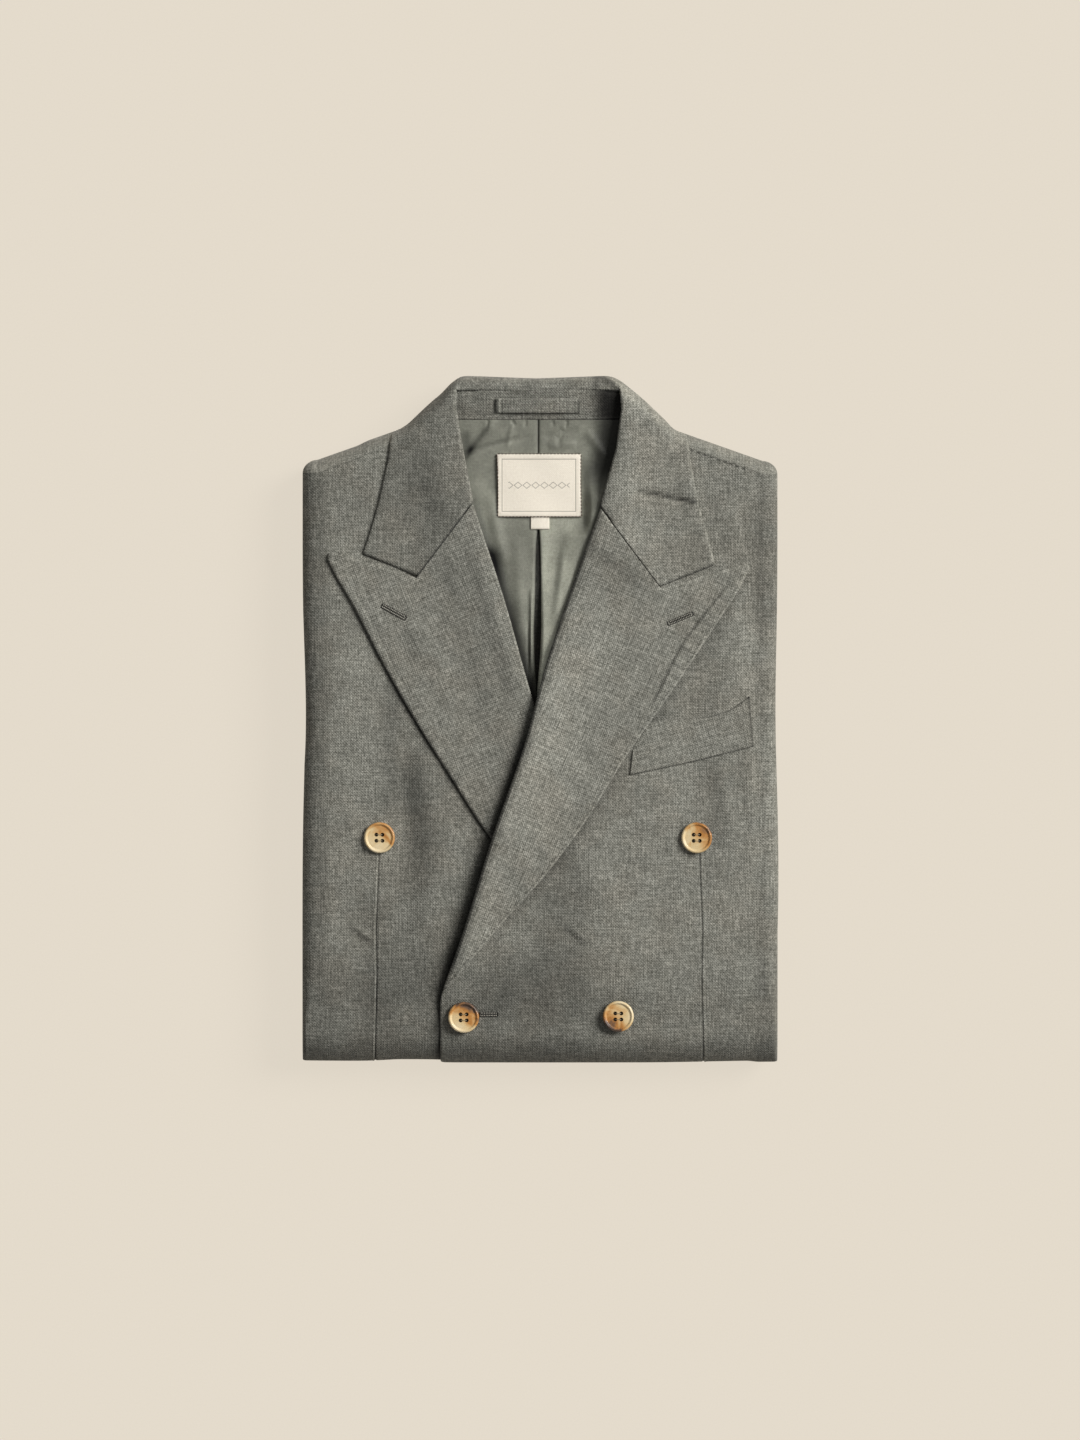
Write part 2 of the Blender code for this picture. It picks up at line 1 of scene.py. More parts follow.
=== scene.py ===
"""Double-breasted linen blazer, folded flat with its front up.

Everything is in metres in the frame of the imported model: +X to the wearer's left, +Y towards the
collar, +Z up. Shapes are worked out in millimetres and turned into metres when a mesh is made.
"""

import math

import bpy
import numpy as np
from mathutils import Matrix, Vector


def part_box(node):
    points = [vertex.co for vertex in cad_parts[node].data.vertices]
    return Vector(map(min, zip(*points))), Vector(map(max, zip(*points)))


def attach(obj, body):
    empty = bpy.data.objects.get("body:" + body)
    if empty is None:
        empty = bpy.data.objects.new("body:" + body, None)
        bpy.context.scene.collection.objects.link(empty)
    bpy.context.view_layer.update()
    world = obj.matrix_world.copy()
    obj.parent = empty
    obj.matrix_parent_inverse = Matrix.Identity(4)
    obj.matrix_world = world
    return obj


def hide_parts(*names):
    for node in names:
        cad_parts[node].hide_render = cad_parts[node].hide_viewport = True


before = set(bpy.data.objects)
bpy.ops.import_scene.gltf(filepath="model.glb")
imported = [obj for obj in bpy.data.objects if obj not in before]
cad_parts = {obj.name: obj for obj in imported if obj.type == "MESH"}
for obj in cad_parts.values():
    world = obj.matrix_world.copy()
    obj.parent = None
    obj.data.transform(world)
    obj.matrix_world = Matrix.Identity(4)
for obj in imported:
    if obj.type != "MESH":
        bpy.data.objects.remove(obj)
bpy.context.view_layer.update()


# ---------------------------------------------------------------------------------------------
# Folded cloth inside
# The back, the sleeves, the side panels and the linings lie folded between the two fronts. They
# are one rounded bundle here, with the edges of its layers showing at the sides.
# ---------------------------------------------------------------------------------------------

HALF_WIDTH = 156.6          # the whole fold, side to middle
WAIST_DIP = 1.8             # how much narrower it is at the waist
NECK_X = -2.5               # the neck's middle
CHEST_Y = 60.0              # rows of the weave are straight below here
SEAM_Y = 168.0              # the shoulder seams at the sides
SEAM_LIMIT = 188.0          # and their highest place, beside the collar
FOLD_Y = -208.0             # where the bottom fold begins
FOLD_RADIUS = 19.0
HEM_Y = 73.0                # the hem of the half that is folded under
SIDE_ROLL = 7.5             # height radius of the turn at the sides
SIDE_REACH = (9.5, 2.6)     # its width radius, above and at the bottom fold
PRESSED = 0.12              # how much of a layer's depth still shows in the bottom fold's edge
END_ROLL = 9.3              # radius of the turn over the top end
CLOTH = 1.4                 # the fronts' wall, with its facing
GAP = 0.3                   # between layers that touch
CROWN = 2.5                 # how much lower the top is beside the turn at the sides
CROWN_REACH = 147.0         # and where that is, from the middle
CENTRE_Y = 1.55             # from these coordinates' middle to the frame's

FOLD_LENGTH = math.pi * FOLD_RADIUS
UNDER_START = FOLD_Y - FOLD_LENGTH
HEM_S = UNDER_START - (HEM_Y - FOLD_Y)

TOP_HEIGHT = ((-208, 38.0), (-150, 40.0), (-60, 41.5), (60, 40.5), (140, 36.5), (225, 33.5))
TOP_EDGE = ((0, 221.3), (45, 223.0), (50, 222.6), (54, 219.9), (91, 189.8), (150, 169.0), (158, 166.2))
NECK_HOLLOW = (
    (-170, 0.0, 2.0),
    (-40, 4.0, 2.0),
    (14, 6.0, 6.0),
    (78, 8.0, 22.0),
    (142, 9.0, 42.0),
    (180, 8.0, 50.0),
    (196, 6.5, 54.0),
    (217, 1.7, 54.0),
    (225, 1.5, 54.0),
)


def smooth(value):
    """S-curve: 0 below 0, 1 above 1, 3t^2 - 2t^3 between."""
    t = np.clip(value, 0.0, 1.0)
    return t * t * (3.0 - 2.0 * t)


def read(table, value, column=1, ease=0.0):
    """A table's column at a value, by straight steps between rows, averaged over five places within
    ease of it."""
    rows = np.array(sorted(table), float)
    offsets = np.linspace(-ease, ease, 5) if ease else (0.0,)
    return sum(np.interp(value + o, rows[:, 0], rows[:, column]) for o in offsets) / len(offsets)


def half_width(y):
    """Side outline: full width, less a dip at the waist, exp(-(y / 60)^2)."""
    return HALF_WIDTH - WAIST_DIP * np.exp(-((y / 60.0) ** 2))


def side_reach(y):
    """Width radius of the turn at the sides, which narrows towards the bottom fold."""
    return SIDE_REACH[0] + (SIDE_REACH[1] - SIDE_REACH[0]) * smooth((-165.0 - y) / 40.0)


def fold_reach(depth):
    """How far in from the bottom fold a depth lies: the side's turn is pressed towards the edge."""
    skin = 2 * CLOTH + 2 * GAP
    return np.minimum(depth, skin) + PRESSED * np.maximum(depth - skin, 0.0)


def top_edge(x):
    """End of the fold behind the neck and shoulders. The wearer's left side stands 1.4 mm higher
    beside the neck, and the right shoulder sags by 1.6 mm there and by 1 mm near its end."""
    uneven = 1.4 * smooth((x - 46.0) / 10.0) * (1.0 - smooth((x - 80.0) / 12.0))
    uneven = uneven - 1.6 * smooth((-x - 58.0) / 9.0) * (1.0 - smooth((-x - 86.0) / 9.0))
    uneven = uneven - 1.0 * smooth((-x - 112.0) / 10.0) * (1.0 - smooth((-x - 148.0) / 8.0))
    return read(TOP_EDGE, np.abs(x - NECK_X), ease=2.0) + uneven


# Long soft swells and dips of the whole folded garment: end, end, height, half-width
SWELLS = (
    ((-140, 60), (-95, -120), 0.9, 17),
    ((-112, 150), (-70, 95), -0.6, 15),
    ((120, 130), (132, -10), 0.8, 15),
    ((70, 30), (120, -60), -0.7, 19),
    ((30, -60), (70, -190), 0.9, 24),
    ((-20, -120), (20, -190), -0.7, 18),
    ((-130, -130), (-80, -195), -0.8, 16),
    ((118, -110), (136, -190), 0.8, 13),
    ((-60, -60), (-90, -150), 0.7, 14),
    ((60, -140), (140, -150), -0.5, 14),
)


def along_line(x, y, a, b):
    """Distance from the segment a to b, and the share of its length at the nearest place."""
    dx, dy = b[0] - a[0], b[1] - a[1]
    share = np.clip(((x - a[0]) * dx + (y - a[1]) * dy) / (dx * dx + dy * dy), 0.0, 1.0)
    return np.hypot(x - a[0] - share * dx, y - a[1] - share * dy), share


def creases(x, y, rows):
    """Sum over rows of height * exp(-(distance / half-width)^2), running out at both ends as
    1 - (2 share - 1)^4: ridges up, troughs down."""
    total = np.zeros(np.broadcast(x, y).shape)
    for a, b, rise, reach in rows:
        distance, share = along_line(x, y, a, b)
        total = total + rise * (1.0 - (2.0 * share - 1.0) ** 4) * np.exp(-((distance / reach) ** 2))
    return total


def height(x, y):
    """Skin height on the top side: a low crown, which falls by the cube of the distance from the
    middle, with the long swells on it."""
    crown = read(TOP_HEIGHT, y, ease=24.0) - CROWN * (np.abs(x) / CROWN_REACH) ** 3
    return crown + creases(x, y, SWELLS)


def hollow(x, y):
    """Depth of the neck opening's floor below the skin."""
    floor = read(NECK_HOLLOW, y, 2, 6.0)
    rise = smooth((np.abs(x - NECK_X) - floor) / 45.0)
    return read(NECK_HOLLOW, y, 1, 6.0) * (1.0 - rise)


def place(x, s, depth, pull=None):
    """Point at x across and s along the cloth, depth below the skin: flat on top, a half turn of
    FOLD_RADIUS round the bottom fold, then flat underneath. The fold falls in a little near
    x = -90 and stands out a little by the left side. pull is how far in from the fold's end the
    point lies, where that is not simply fold_reach(depth)."""
    pull = fold_reach(np.asarray(depth, float)) if pull is None else pull
    x, s, depth, pull = np.broadcast_arrays(*(np.asarray(v, float) for v in (x, s, depth, pull)))
    arc = FOLD_Y - s
    angle = np.clip(arc / FOLD_RADIUS, 0.0, math.pi)
    top_radius = height(x, FOLD_Y) - FOLD_RADIUS
    radius = FOLD_RADIUS + (top_radius - FOLD_RADIUS) * (1.0 + np.cos(angle)) / 2.0
    under = arc >= FOLD_LENGTH
    reach = FOLD_RADIUS + 0.3 * (radius - FOLD_RADIUS) - pull
    reach = reach - 1.2 * np.exp(-(((x + 90.0) / 17.0) ** 2)) + 0.8 * smooth((x - 136.0) / 9.0)
    y = np.where(under, FOLD_Y + (arc - FOLD_LENGTH), FOLD_Y - reach * np.sin(angle))
    y = np.where(arc <= 0, s, y)
    z = np.where(under, depth, FOLD_RADIUS + (radius - depth) * np.cos(angle))
    z = np.where(arc <= 0, height(x, np.maximum(s, FOLD_Y)) - depth, z)
    return np.stack([x, y, z], axis=-1)


def row_line(s, x, top, highest=300.0):
    """Place along the cloth of a row that is straight below the chest and follows the shoulder
    above it, where the row at top reaches the end of the fold."""
    share = np.clip((s - CHEST_Y) / (top - CHEST_Y), 0.0, 1.0)
    end = np.minimum(top_edge(x), highest) - END_ROLL
    return np.where(s > CHEST_Y, CHEST_Y + share * (end - CHEST_Y), s)


def put_mesh(name, points, quads, uv, tone, finish):
    """Object from points in mm, quads, a place on the cloth in metres and a tone per point.
    Faces are turned round if the closed mesh has a negative volume."""
    corners = points[quads]
    mean = points.mean(axis=0)
    volume = 0.0
    for a, b, c in ((0, 1, 2), (0, 2, 3)):
        cross = np.cross(corners[:, b] - mean, corners[:, c] - mean)
        volume += np.einsum("ij,ij->", corners[:, a] - mean, cross)
    if volume < 0:
        quads = quads[:, ::-1]
    mesh = bpy.data.meshes.new(name)
    mesh.vertices.add(len(points))
    moved = (points + (0.0, CENTRE_Y, 0.0)) * 0.001
    mesh.vertices.foreach_set("co", moved.astype(np.float32).ravel())
    mesh.loops.add(quads.size)
    mesh.loops.foreach_set("vertex_index", quads.astype(np.int32).ravel())
    mesh.polygons.add(len(quads))
    mesh.polygons.foreach_set("loop_start", np.arange(0, quads.size, 4, dtype=np.int32))
    mesh.update(calc_edges=True)
    layer = mesh.uv_layers.new(name="cloth")
    layer.data.foreach_set("uv", uv[quads.ravel()].astype(np.float32).ravel())
    held = mesh.attributes.new("tone", "FLOAT", "POINT")
    held.data.foreach_set("value", np.asarray(tone, np.float32).ravel())
    mesh.validate()
    mesh.shade_smooth()
    mesh.set_sharp_from_angle(angle=math.radians(60))
    mesh.materials.append(finish)
    piece = bpy.data.objects.new(name, mesh)
    bpy.context.scene.collection.objects.link(piece)
    return piece


def two_faced(name, outer, inner, uv, tone, finish, rim=0.25):
    """Cloth with a wall: outer and inner grids joined by a rounded rim, which stands out from the
    edge by rim times the wall."""
    rows, columns = outer.shape[:2]
    count = rows * columns
    index = np.arange(count).reshape(rows, columns)
    quads = np.stack([index[:-1, :-1], index[:-1, 1:], index[1:, 1:], index[1:, :-1]], -1).reshape(-1, 4)
    loop = np.concatenate([index[0, :-1], index[:-1, -1], index[-1, :0:-1], index[:0:-1, 0]])
    r, c = np.divmod(loop, columns)
    inside = np.clip(r, 1, rows - 2) * columns + np.clip(c, 1, columns - 2)
    top = outer.reshape(-1, 3)
    low = inner.reshape(-1, 3)
    ahead = top[loop] - top[inside]
    ahead /= np.maximum(np.linalg.norm(ahead, axis=1, keepdims=True), 1e-9)
    wall = np.linalg.norm(top[loop] - low[loop], axis=1, keepdims=True)
    edge = (top[loop] + low[loop]) / 2 + ahead * wall * rim
    ring = 2 * count + np.arange(len(loop))
    following = np.roll(loop, -1)
    next_ring = np.roll(ring, -1)
    sides = np.concatenate([
        np.stack([following, loop, ring, next_ring], -1),
        np.stack([next_ring, ring, loop + count, following + count], -1),
    ])
    quads = np.concatenate([quads, quads[:, ::-1] + count, sides])
    points = np.concatenate([top, low, edge])
    flat_uv = uv.reshape(-1, 2) * 0.001
    flat_tone = np.broadcast_to(tone, (rows, columns)).ravel()
    uv_all = np.concatenate([flat_uv, flat_uv, flat_uv[loop]])
    tone_all = np.concatenate([flat_tone, flat_tone, flat_tone[loop]])
    return put_mesh(name, points, quads, uv_all, tone_all, finish)


class Tree:
    """Shader nodes by short calls."""

    def __init__(self, tree):
        """tree: a material's or a group's nodes and links."""
        self.tree = tree

    def new(self, kind, settings=None, **inputs):
        """Adds a node, and links or sets its inputs, by name or as i0, i1 and so on by number."""
        node = self.tree.nodes.new("ShaderNode" + kind)
        for key, value in (settings or {}).items():
            setattr(node, key, value)
        for key, value in inputs.items():
            name = key.replace("_", " ")
            socket = node.inputs[int(key[1:])] if key[1:].isdigit() else node.inputs[name]
            if isinstance(value, bpy.types.NodeSocket):
                self.tree.links.new(value, socket)
            else:
                socket.default_value = value
        return node

    def math(self, operation, a, b=0.0, clamp=False):
        """One sum of two values."""
        node = self.new("Math", {"operation": operation, "use_clamp": clamp}, i0=a, i1=b)
        return node.outputs[0]

    def mix(self, share, a, b, blend="MIX"):
        """A colour from a to b, or a blended with b, by share."""
        node = self.new("Mix", {"data_type": "RGBA", "blend_type": blend}, i0=share, i6=a, i7=b)
        return node.outputs[2]

    def span(self, value, low, high, to_low=0.0, to_high=1.0):
        """A value's range low to high brought to another range, and held inside it."""
        node = self.new("MapRange", {}, Value=value, From_Min=low, From_Max=high, To_Min=to_low,
                        To_Max=to_high)
        return node.outputs[0]

    def noise(self, vector, scale, detail, **more):
        """A noise's value over the surface."""
        return self.new("TexNoise", {}, Vector=vector, Scale=scale, Detail=detail, **more).outputs[0]

    def yarn_noise(self, vector, scale, detail, output=0):
        """The same in two directions only, on the cloth."""
        settings = {"noise_dimensions": "2D"}
        return self.new("TexNoise", settings, Vector=vector, Scale=scale, Detail=detail).outputs[output]

    def tone(self):
        """The value that each point of the mesh carries."""
        return self.new("Attribute", {"attribute_name": "tone"}).outputs["Fac"]

    def darken(self, colour, level):
        """A colour times a level of grey."""
        grey = self.new("CombineXYZ", {}, X=level, Y=level, Z=level).outputs[0]
        return self.mix(1.0, colour, grey, "MULTIPLY")


def new_finish(name):
    """An empty material: itself, its nodes and its shader."""
    finish = bpy.data.materials.new(name)
    finish.use_nodes = True
    return finish, Tree(finish.node_tree), finish.node_tree.nodes["Principled BSDF"]


def weave_group():
    """Plain weave of uneven yarn on the cloth's own UV. Relief is sin(pi u / pitch) times
    sin(pi v / pitch), pushed about by noise, plus slubs: noise stretched 16 to 1 along each yarn."""
    group = bpy.data.node_groups.new("plain_weave", "ShaderNodeTree")
    face = group.interface
    face.new_socket("Pitch", in_out="INPUT", socket_type="NodeSocketFloat").default_value = 0.0012
    face.new_socket("Slub", in_out="INPUT", socket_type="NodeSocketFloat").default_value = 1.0
    face.new_socket("Tone", in_out="OUTPUT", socket_type="NodeSocketFloat")
    face.new_socket("Height", in_out="OUTPUT", socket_type="NodeSocketFloat")
    t = Tree(group)
    given = group.nodes.new("NodeGroupInput").outputs
    out = group.nodes.new("NodeGroupOutput")
    place_on = t.new("UVMap", {"uv_map": "cloth"}).outputs[0]
    scale = t.math("DIVIDE", 1.0, given["Pitch"])
    yarns = t.new("VectorMath", {"operation": "SCALE"}, i0=place_on, Scale=scale).outputs[0]
    push = t.yarn_noise(yarns, 0.35, 2.0, output=1)
    pushed = t.new("VectorMath", {"operation": "MULTIPLY_ADD"}, i0=push, i1=(0.9, 0.9, 0.0), i2=yarns)
    push = pushed.outputs[0]
    axes = t.new("SeparateXYZ", {}, Vector=push).outputs
    across = t.math("SINE", t.math("MULTIPLY", axes[0], math.pi))
    down = t.math("SINE", t.math("MULTIPLY", axes[1], math.pi))
    crossing = t.math("MULTIPLY", across, down)
    slubs = []
    for stretch in ((1.0, 0.06, 1.0), (0.06, 1.0, 1.0)):
        pulled = t.new("VectorMath", {"operation": "MULTIPLY"}, i0=yarns, i1=stretch).outputs[0]
        slubs.append(t.span(t.yarn_noise(pulled, 0.95, 2.5), 0.3, 0.7, -1.0, 1.0))
    yarn = t.math("ADD", slubs[0], slubs[1])
    flecks = t.span(t.yarn_noise(yarns, 0.8, 3.0), 0.3, 0.7, -1.0, 1.0)
    uneven = t.math("MULTIPLY", yarn, given["Slub"])
    tone = t.math("ADD", t.math("MULTIPLY", crossing, 0.28), t.math("MULTIPLY", uneven, 0.34))
    tone = t.math("ADD", tone, t.math("MULTIPLY", flecks, 0.42))
    knots = t.span(t.yarn_noise(yarns, 0.33, 2.0), 0.3, 0.7, -1.0, 1.0)
    tone = t.math("ADD", tone, t.math("MULTIPLY", knots, 0.22))
    relief = t.math("ADD", t.math("MULTIPLY", crossing, 0.5), t.math("MULTIPLY", uneven, 0.45))
    group.links.new(tone, out.inputs["Tone"])
    group.links.new(relief, out.inputs["Height"])
    return group


weave = weave_group()


def cloth_material(name, dark, middle, light, cast, pitch, slub, rough, depth, sheen):
    """Woven cloth: tone of the weave runs the colour from dark to light, a broad noise leans it
    towards cast, and the piece's own tone attribute, which holds painted light and shade, lifts or
    darkens it along edges, seams, folds and shadows."""
    finish, t, shader = new_finish(name)
    woven = t.new("Group", {"node_tree": weave}, Pitch=pitch, Slub=slub).outputs
    ramp = t.new("ValToRGB", {}, Fac=t.span(woven["Tone"], -0.8, 0.8)).outputs[0]
    stops = ramp.node.color_ramp.elements
    stops[0].color = dark
    stops[1].color = light
    stops.new(0.5).color = middle
    spot = t.new("TexCoord").outputs["Object"]
    broad = t.span(t.noise(spot, 34.0, 3.0, Roughness=0.6), 0.42, 0.62, 0.0, 0.75)
    patch = t.span(t.noise(spot, 90.0, 3.0), 0.3, 0.7, 0.88, 1.12)
    level = t.math("MULTIPLY", patch, t.math("ADD", t.tone(), 1.0))
    colour = t.darken(t.mix(broad, ramp, cast, "MULTIPLY"), level)
    bump = t.new("Bump", {}, Height=woven["Height"], Strength=0.7, Distance=depth).outputs[0]
    links = finish.node_tree.links
    links.new(colour, shader.inputs["Base Color"])
    links.new(t.span(woven["Tone"], -0.8, 0.8, rough + 0.06, rough - 0.06), shader.inputs["Roughness"])
    links.new(bump, shader.inputs["Normal"])
    shader.inputs["Specular IOR Level"].default_value = 0.25
    shader.inputs["Sheen Weight"].default_value = sheen
    shader.inputs["Sheen Roughness"].default_value = 0.5
    return finish


def shade(red, green, blue):
    """Linear colour, with full cover, of a screen colour given out of 255."""
    value = np.array((red, green, blue)) / 255.0
    linear = np.where(value < 0.04045, value / 12.92, ((value + 0.055) / 1.055) ** 2.4)
    return (*linear.tolist(), 1.0)


linen = cloth_material("linen", shade(83, 83, 76), shade(121, 121, 113), shade(163, 162, 153),
                       (1.0, 0.965, 0.94, 1.0), 0.0009, 0.66, 0.9, 0.00028, 0.12)


BUNDLE_TOP = 162.0          # its last full ring towards the neck
BUNDLE_ROW = 166.0          # the row that would reach the end of the fold
HEM_TURN = 3.6              # where it starts to close behind the hem
FOLDED_EDGES = (5.2, 3.4)   # how far each of the two layers at a side stands out
EDGES_IN = 9.0              # from the side to where they start


def bundle_section(width, side, inner, skin):
    """Right half of a section: across and depth. Out along the skin, round the fronts' roll, then
    in and out round two folded edges, and back along the inner face."""
    flat = width - side
    room = skin + GAP
    rows = [(share * flat, skin, 1.0) for share in np.linspace(0.0, 1.0, 36)]
    turn = np.radians(np.linspace(12, 150, 13))
    across = flat + (side - room) * np.sin(turn)
    depth = SIDE_ROLL - (SIDE_ROLL - room) * np.cos(turn)
    rows += [(a, d, 0.0) for a, d in zip(across, depth)]
    start = 2 * SIDE_ROLL + 0.2
    half = (inner - start) / 2
    for layer, out in enumerate(FOLDED_EDGES):
        turn = np.radians(np.linspace(15, 165, 9))
        middle = start + half * (layer + 0.5)
        across = width - EDGES_IN + out * np.sin(turn)
        depth = middle - half / 2 * np.cos(turn)
        rows += [(a, d, 0.0) for a, d in zip(across, depth)]
    rows += [(share * flat, inner, 0.0) for share in np.linspace(0.93, 0.0, 14)]
    return np.array(rows)


def folded_bundle():
    """Rings from the neck end, down the top half, round the fold and back underneath, and a flat cap
    of quads on the first and last ring. Two slivers at the middle of each cap stay open."""
    rings = []

    def ring(s, shrink=0.0, end=0.0):
        """One ring at s, drawn in by cos(shrink) and moved along by end times sin(shrink)."""
        y = FOLD_Y + (UNDER_START - s) if s < UNDER_START else max(s, FOLD_Y)
        width = float(half_width(y))
        side = float(side_reach(y))
        turned = float(smooth((FOLD_Y - s) / FOLD_LENGTH))
        skin = (CLOTH + GAP) * (1 + turned)
        if s >= FOLD_Y:
            drop = float(smooth((y - 78.0) / 45.0))
            level = float(height(width - side, y))
            inner = (level - FOLD_RADIUS - 0.2) * (1 - drop) + (level - 3.6) * drop
        else:
            start = float(height(width - side, FOLD_Y)) - FOLD_RADIUS
            inner = start + (FOLD_RADIUS - start) * turned - 0.2
        half = bundle_section(width, side, inner, skin)
        x, depth, top = np.concatenate([half, half[-2:0:-1] * (-1, 1, 1)]).T
        across = np.clip((np.abs(x) - (width - side)) / side, 0.0, 1.0)
        x = x + NECK_X * (1 - np.abs(x) / width) ** 2 * top
        if s >= FOLD_Y:
            depth = depth + top * hollow(NECK_X + 0.9 * (x - NECK_X), y) * 1.05
        depth = inner / 2 + (depth - inner / 2) * math.cos(shrink)
        reach = math.sin(shrink)
        x = x - np.sign(x) * 7.0 * reach * across
        run = row_line(s, x, BUNDLE_ROW) if s >= FOLD_Y else np.full_like(x, s)
        rings.append(place(x, run + end * reach * np.sqrt(1 - across ** 2 / 2), depth))

    for degrees in (88, 75, 60, 45, 30, 15):
        ring(BUNDLE_TOP, math.radians(degrees), END_ROLL + 1.4)
    for s in np.concatenate([np.linspace(BUNDLE_TOP, FOLD_Y, 62)[:-1],
                             np.linspace(FOLD_Y, UNDER_START, 20),
                             np.linspace(UNDER_START, HEM_S + HEM_TURN, 24)[1:]]):
        ring(float(s))
    for degrees in (20, 40, 60, 80):
        ring(HEM_S + HEM_TURN, math.radians(degrees), -2.6)
    rings = np.array(rings)
    rows, columns = rings.shape[:2]
    index = np.arange(rows * columns).reshape(rows, columns)
    beside = np.roll(index, -1, axis=1)
    quads = np.stack([index[:-1], beside[:-1], beside[1:], index[1:]], -1).reshape(-1, 4)
    pair = np.arange(columns // 2)
    cap = np.stack([pair, pair + 1, (columns - 1 - pair) % columns, (columns - pair) % columns], -1)
    cap = cap[1:-1]
    ends = np.concatenate([cap[:, ::-1], cap + index[-1, 0]])
    return rings.reshape(-1, 3), np.concatenate([quads, ends])


points, quads = folded_bundle()
x, y, z = points.T
uv = np.stack([x + z, y + 0.7 * z], -1) * 0.001
# Painted shade where the bundle shows through the pleat's opening in the lining; the rest of it is a little
# darker all over.
pleat_shadow = np.exp(-((x / 9.0) ** 2)) * (np.abs(y - 60.0) < 110.0) * (z > 22.5)
bundle = put_mesh("folded_cloth", points, quads, uv, -0.08 - 0.84 * pleat_shadow, linen)
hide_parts("folded_layers")
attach(bundle, "root")


# ---------------------------------------------------------------------------------------------
# Fronts
# Each front is one cloth from the shoulder seam down over the chest, round the side, round the
# bottom fold and back underneath to the hem. A long dart runs down from each upper button.
# ---------------------------------------------------------------------------------------------

LAPEL = 2.2                 # a lapel's wall, two cloths with canvas between
CLOSE_ROWS = 163.4          # the rows of a front are closest together above here
ROLL_RIGHT = ((-54.8, 197.3), (-50.8, 177.5), (-43.6, 142.6), (-23.8, 78.5), (-5.3, 13.9))
RIGHT_UNDER = ((28.4, -80.0), (60.2, -178.5))
ROLL_LEFT = ((52.8, 204.6), (50.2, 177.5), (39.6, 139.3), (18.5, 78.5), (4.0, 35.0), (-9.2, -14.5),
             (-31.7, -79.9), (-51.5, -143.9), (-64.0, -179.5), (-65.3, -187.0))
LAPEL_EDGE_RIGHT = ((-81.2, 91.6), (-131.0, 107.4), (-136.2, 109.0), (-139.0, 107.6), (-139.6, 104.6),
                    (-137.4, 99.5), (-122.8, 73.9), (-103.0, 35.6), (-80.5, -4.0), (-59.4, -37.6),
                    (-31.7, -79.9), (15.2, -128.0), (57.0, -177.0))
LAPEL_EDGE_LEFT = ((79.2, 84.7), (133.2, 100.4), (136.6, 100.5), (137.8, 98.4), (136.2, 94.8),
                   (111.5, 54.8), (79.2, 6.6), (56.8, -25.1), (29.0, -69.3), (0.0, -107.6),
                   (-18.5, -128.0), (-42.9, -156.4), (-60.4, -177.4))
DART_RIGHT = ((-105.6, -79.2), (-108.2, -137.9), (-107.6, -169.6), (-108.9, -224.4), (-109.0, -470.0))
DART_LEFT = ((105.0, -79.2), (105.9, -110.0), (107.0, -140.0), (106.6, -180.0), (108.0, -224.0),
             (108.0, -470.0))


def line_x(points, s):
    """Where a line given by its points lies across, at s along the cloth."""
    return read([(y, x) for x, y in points], s)


def skin_right(x, s):
    """The right front goes one cloth deeper where the left one covers it round the fold."""
    under = smooth((FOLD_Y - s) / FOLD_LENGTH)
    return (CLOTH + GAP) * under * (1.0 - smooth((-x - 68.0) / 22.0))


def skin_left(x, s):
    """The left front rises over the right front and over its lapel."""
    across = 1.0 - smooth((x - 64.0) / 85.0)
    crossing = 1.0 - smooth((s - 18.0) / 80.0)
    over_lapel = smooth((s + 207.0) / 27.0)
    before_fold = 1.0 - smooth((FOLD_Y - s) / FOLD_LENGTH)
    rise = (CLOTH + GAP) * before_fold + (LAPEL + GAP) * over_lapel
    from_roll = x - line_x(ROLL_LEFT, s)
    loft = 3.2 * np.exp(-((from_roll / 14.0) ** 2)) * smooth((34.0 - s) / 26.0) * smooth((s + 184.0) / 40.0)
    return -across * crossing * rise - loft


def band(distance, middle, width):
    """exp(-((distance - middle) / width)^2)"""
    return np.exp(-(((distance - middle) / width) ** 2))


def painted_falloff_shade(x, s):
    """Painted shade: the cloth darkens towards its right side and its bottom fold, by up to three
    tenths, and a little towards its left side.
    """
    right_side = smooth((-x - 136.0) / 9.0)
    bottom = smooth((-140.0 - s) / 48.0) * (1.0 - 0.45 * smooth((x - 24.0) / 26.0))
    return -0.31 * right_side - 0.27 * bottom * (1.0 - 0.8 * right_side) - 0.18 * smooth((x - 140.0) / 6.0)


def roll_shadow(x, s):
    """Painted shadow, nearly black, beside the left roll, fading over 20 mm on the cloths that it
    overlaps.
    """
    beside = line_x(ROLL_LEFT, s) - x
    wide = smooth((2.0 - s) / 24.0) * (1.0 - 0.8 * smooth((-158.0 - s) / 22.0))
    return -0.50 * band(beside, 0.0, 3.8) * smooth((24.0 - s) / 16.0) - 0.34 * band(beside, 0.0, 12.0) * wide


def roll_turn_shade(inside):
    """Painted shade: darkest on the roll itself, then an even darker strip 4 mm wide that fades to
    7 mm inside.
    """
    return -0.42 * band(inside, -0.2, 0.8) - 0.32 * (1.0 - smooth((inside - 3.0) / 3.6))


def seam_line(s, x):
    """The front's rows: the one at SEAM_Y is the shoulder seam."""
    return row_line(s, x, SEAM_Y, SEAM_LIMIT)


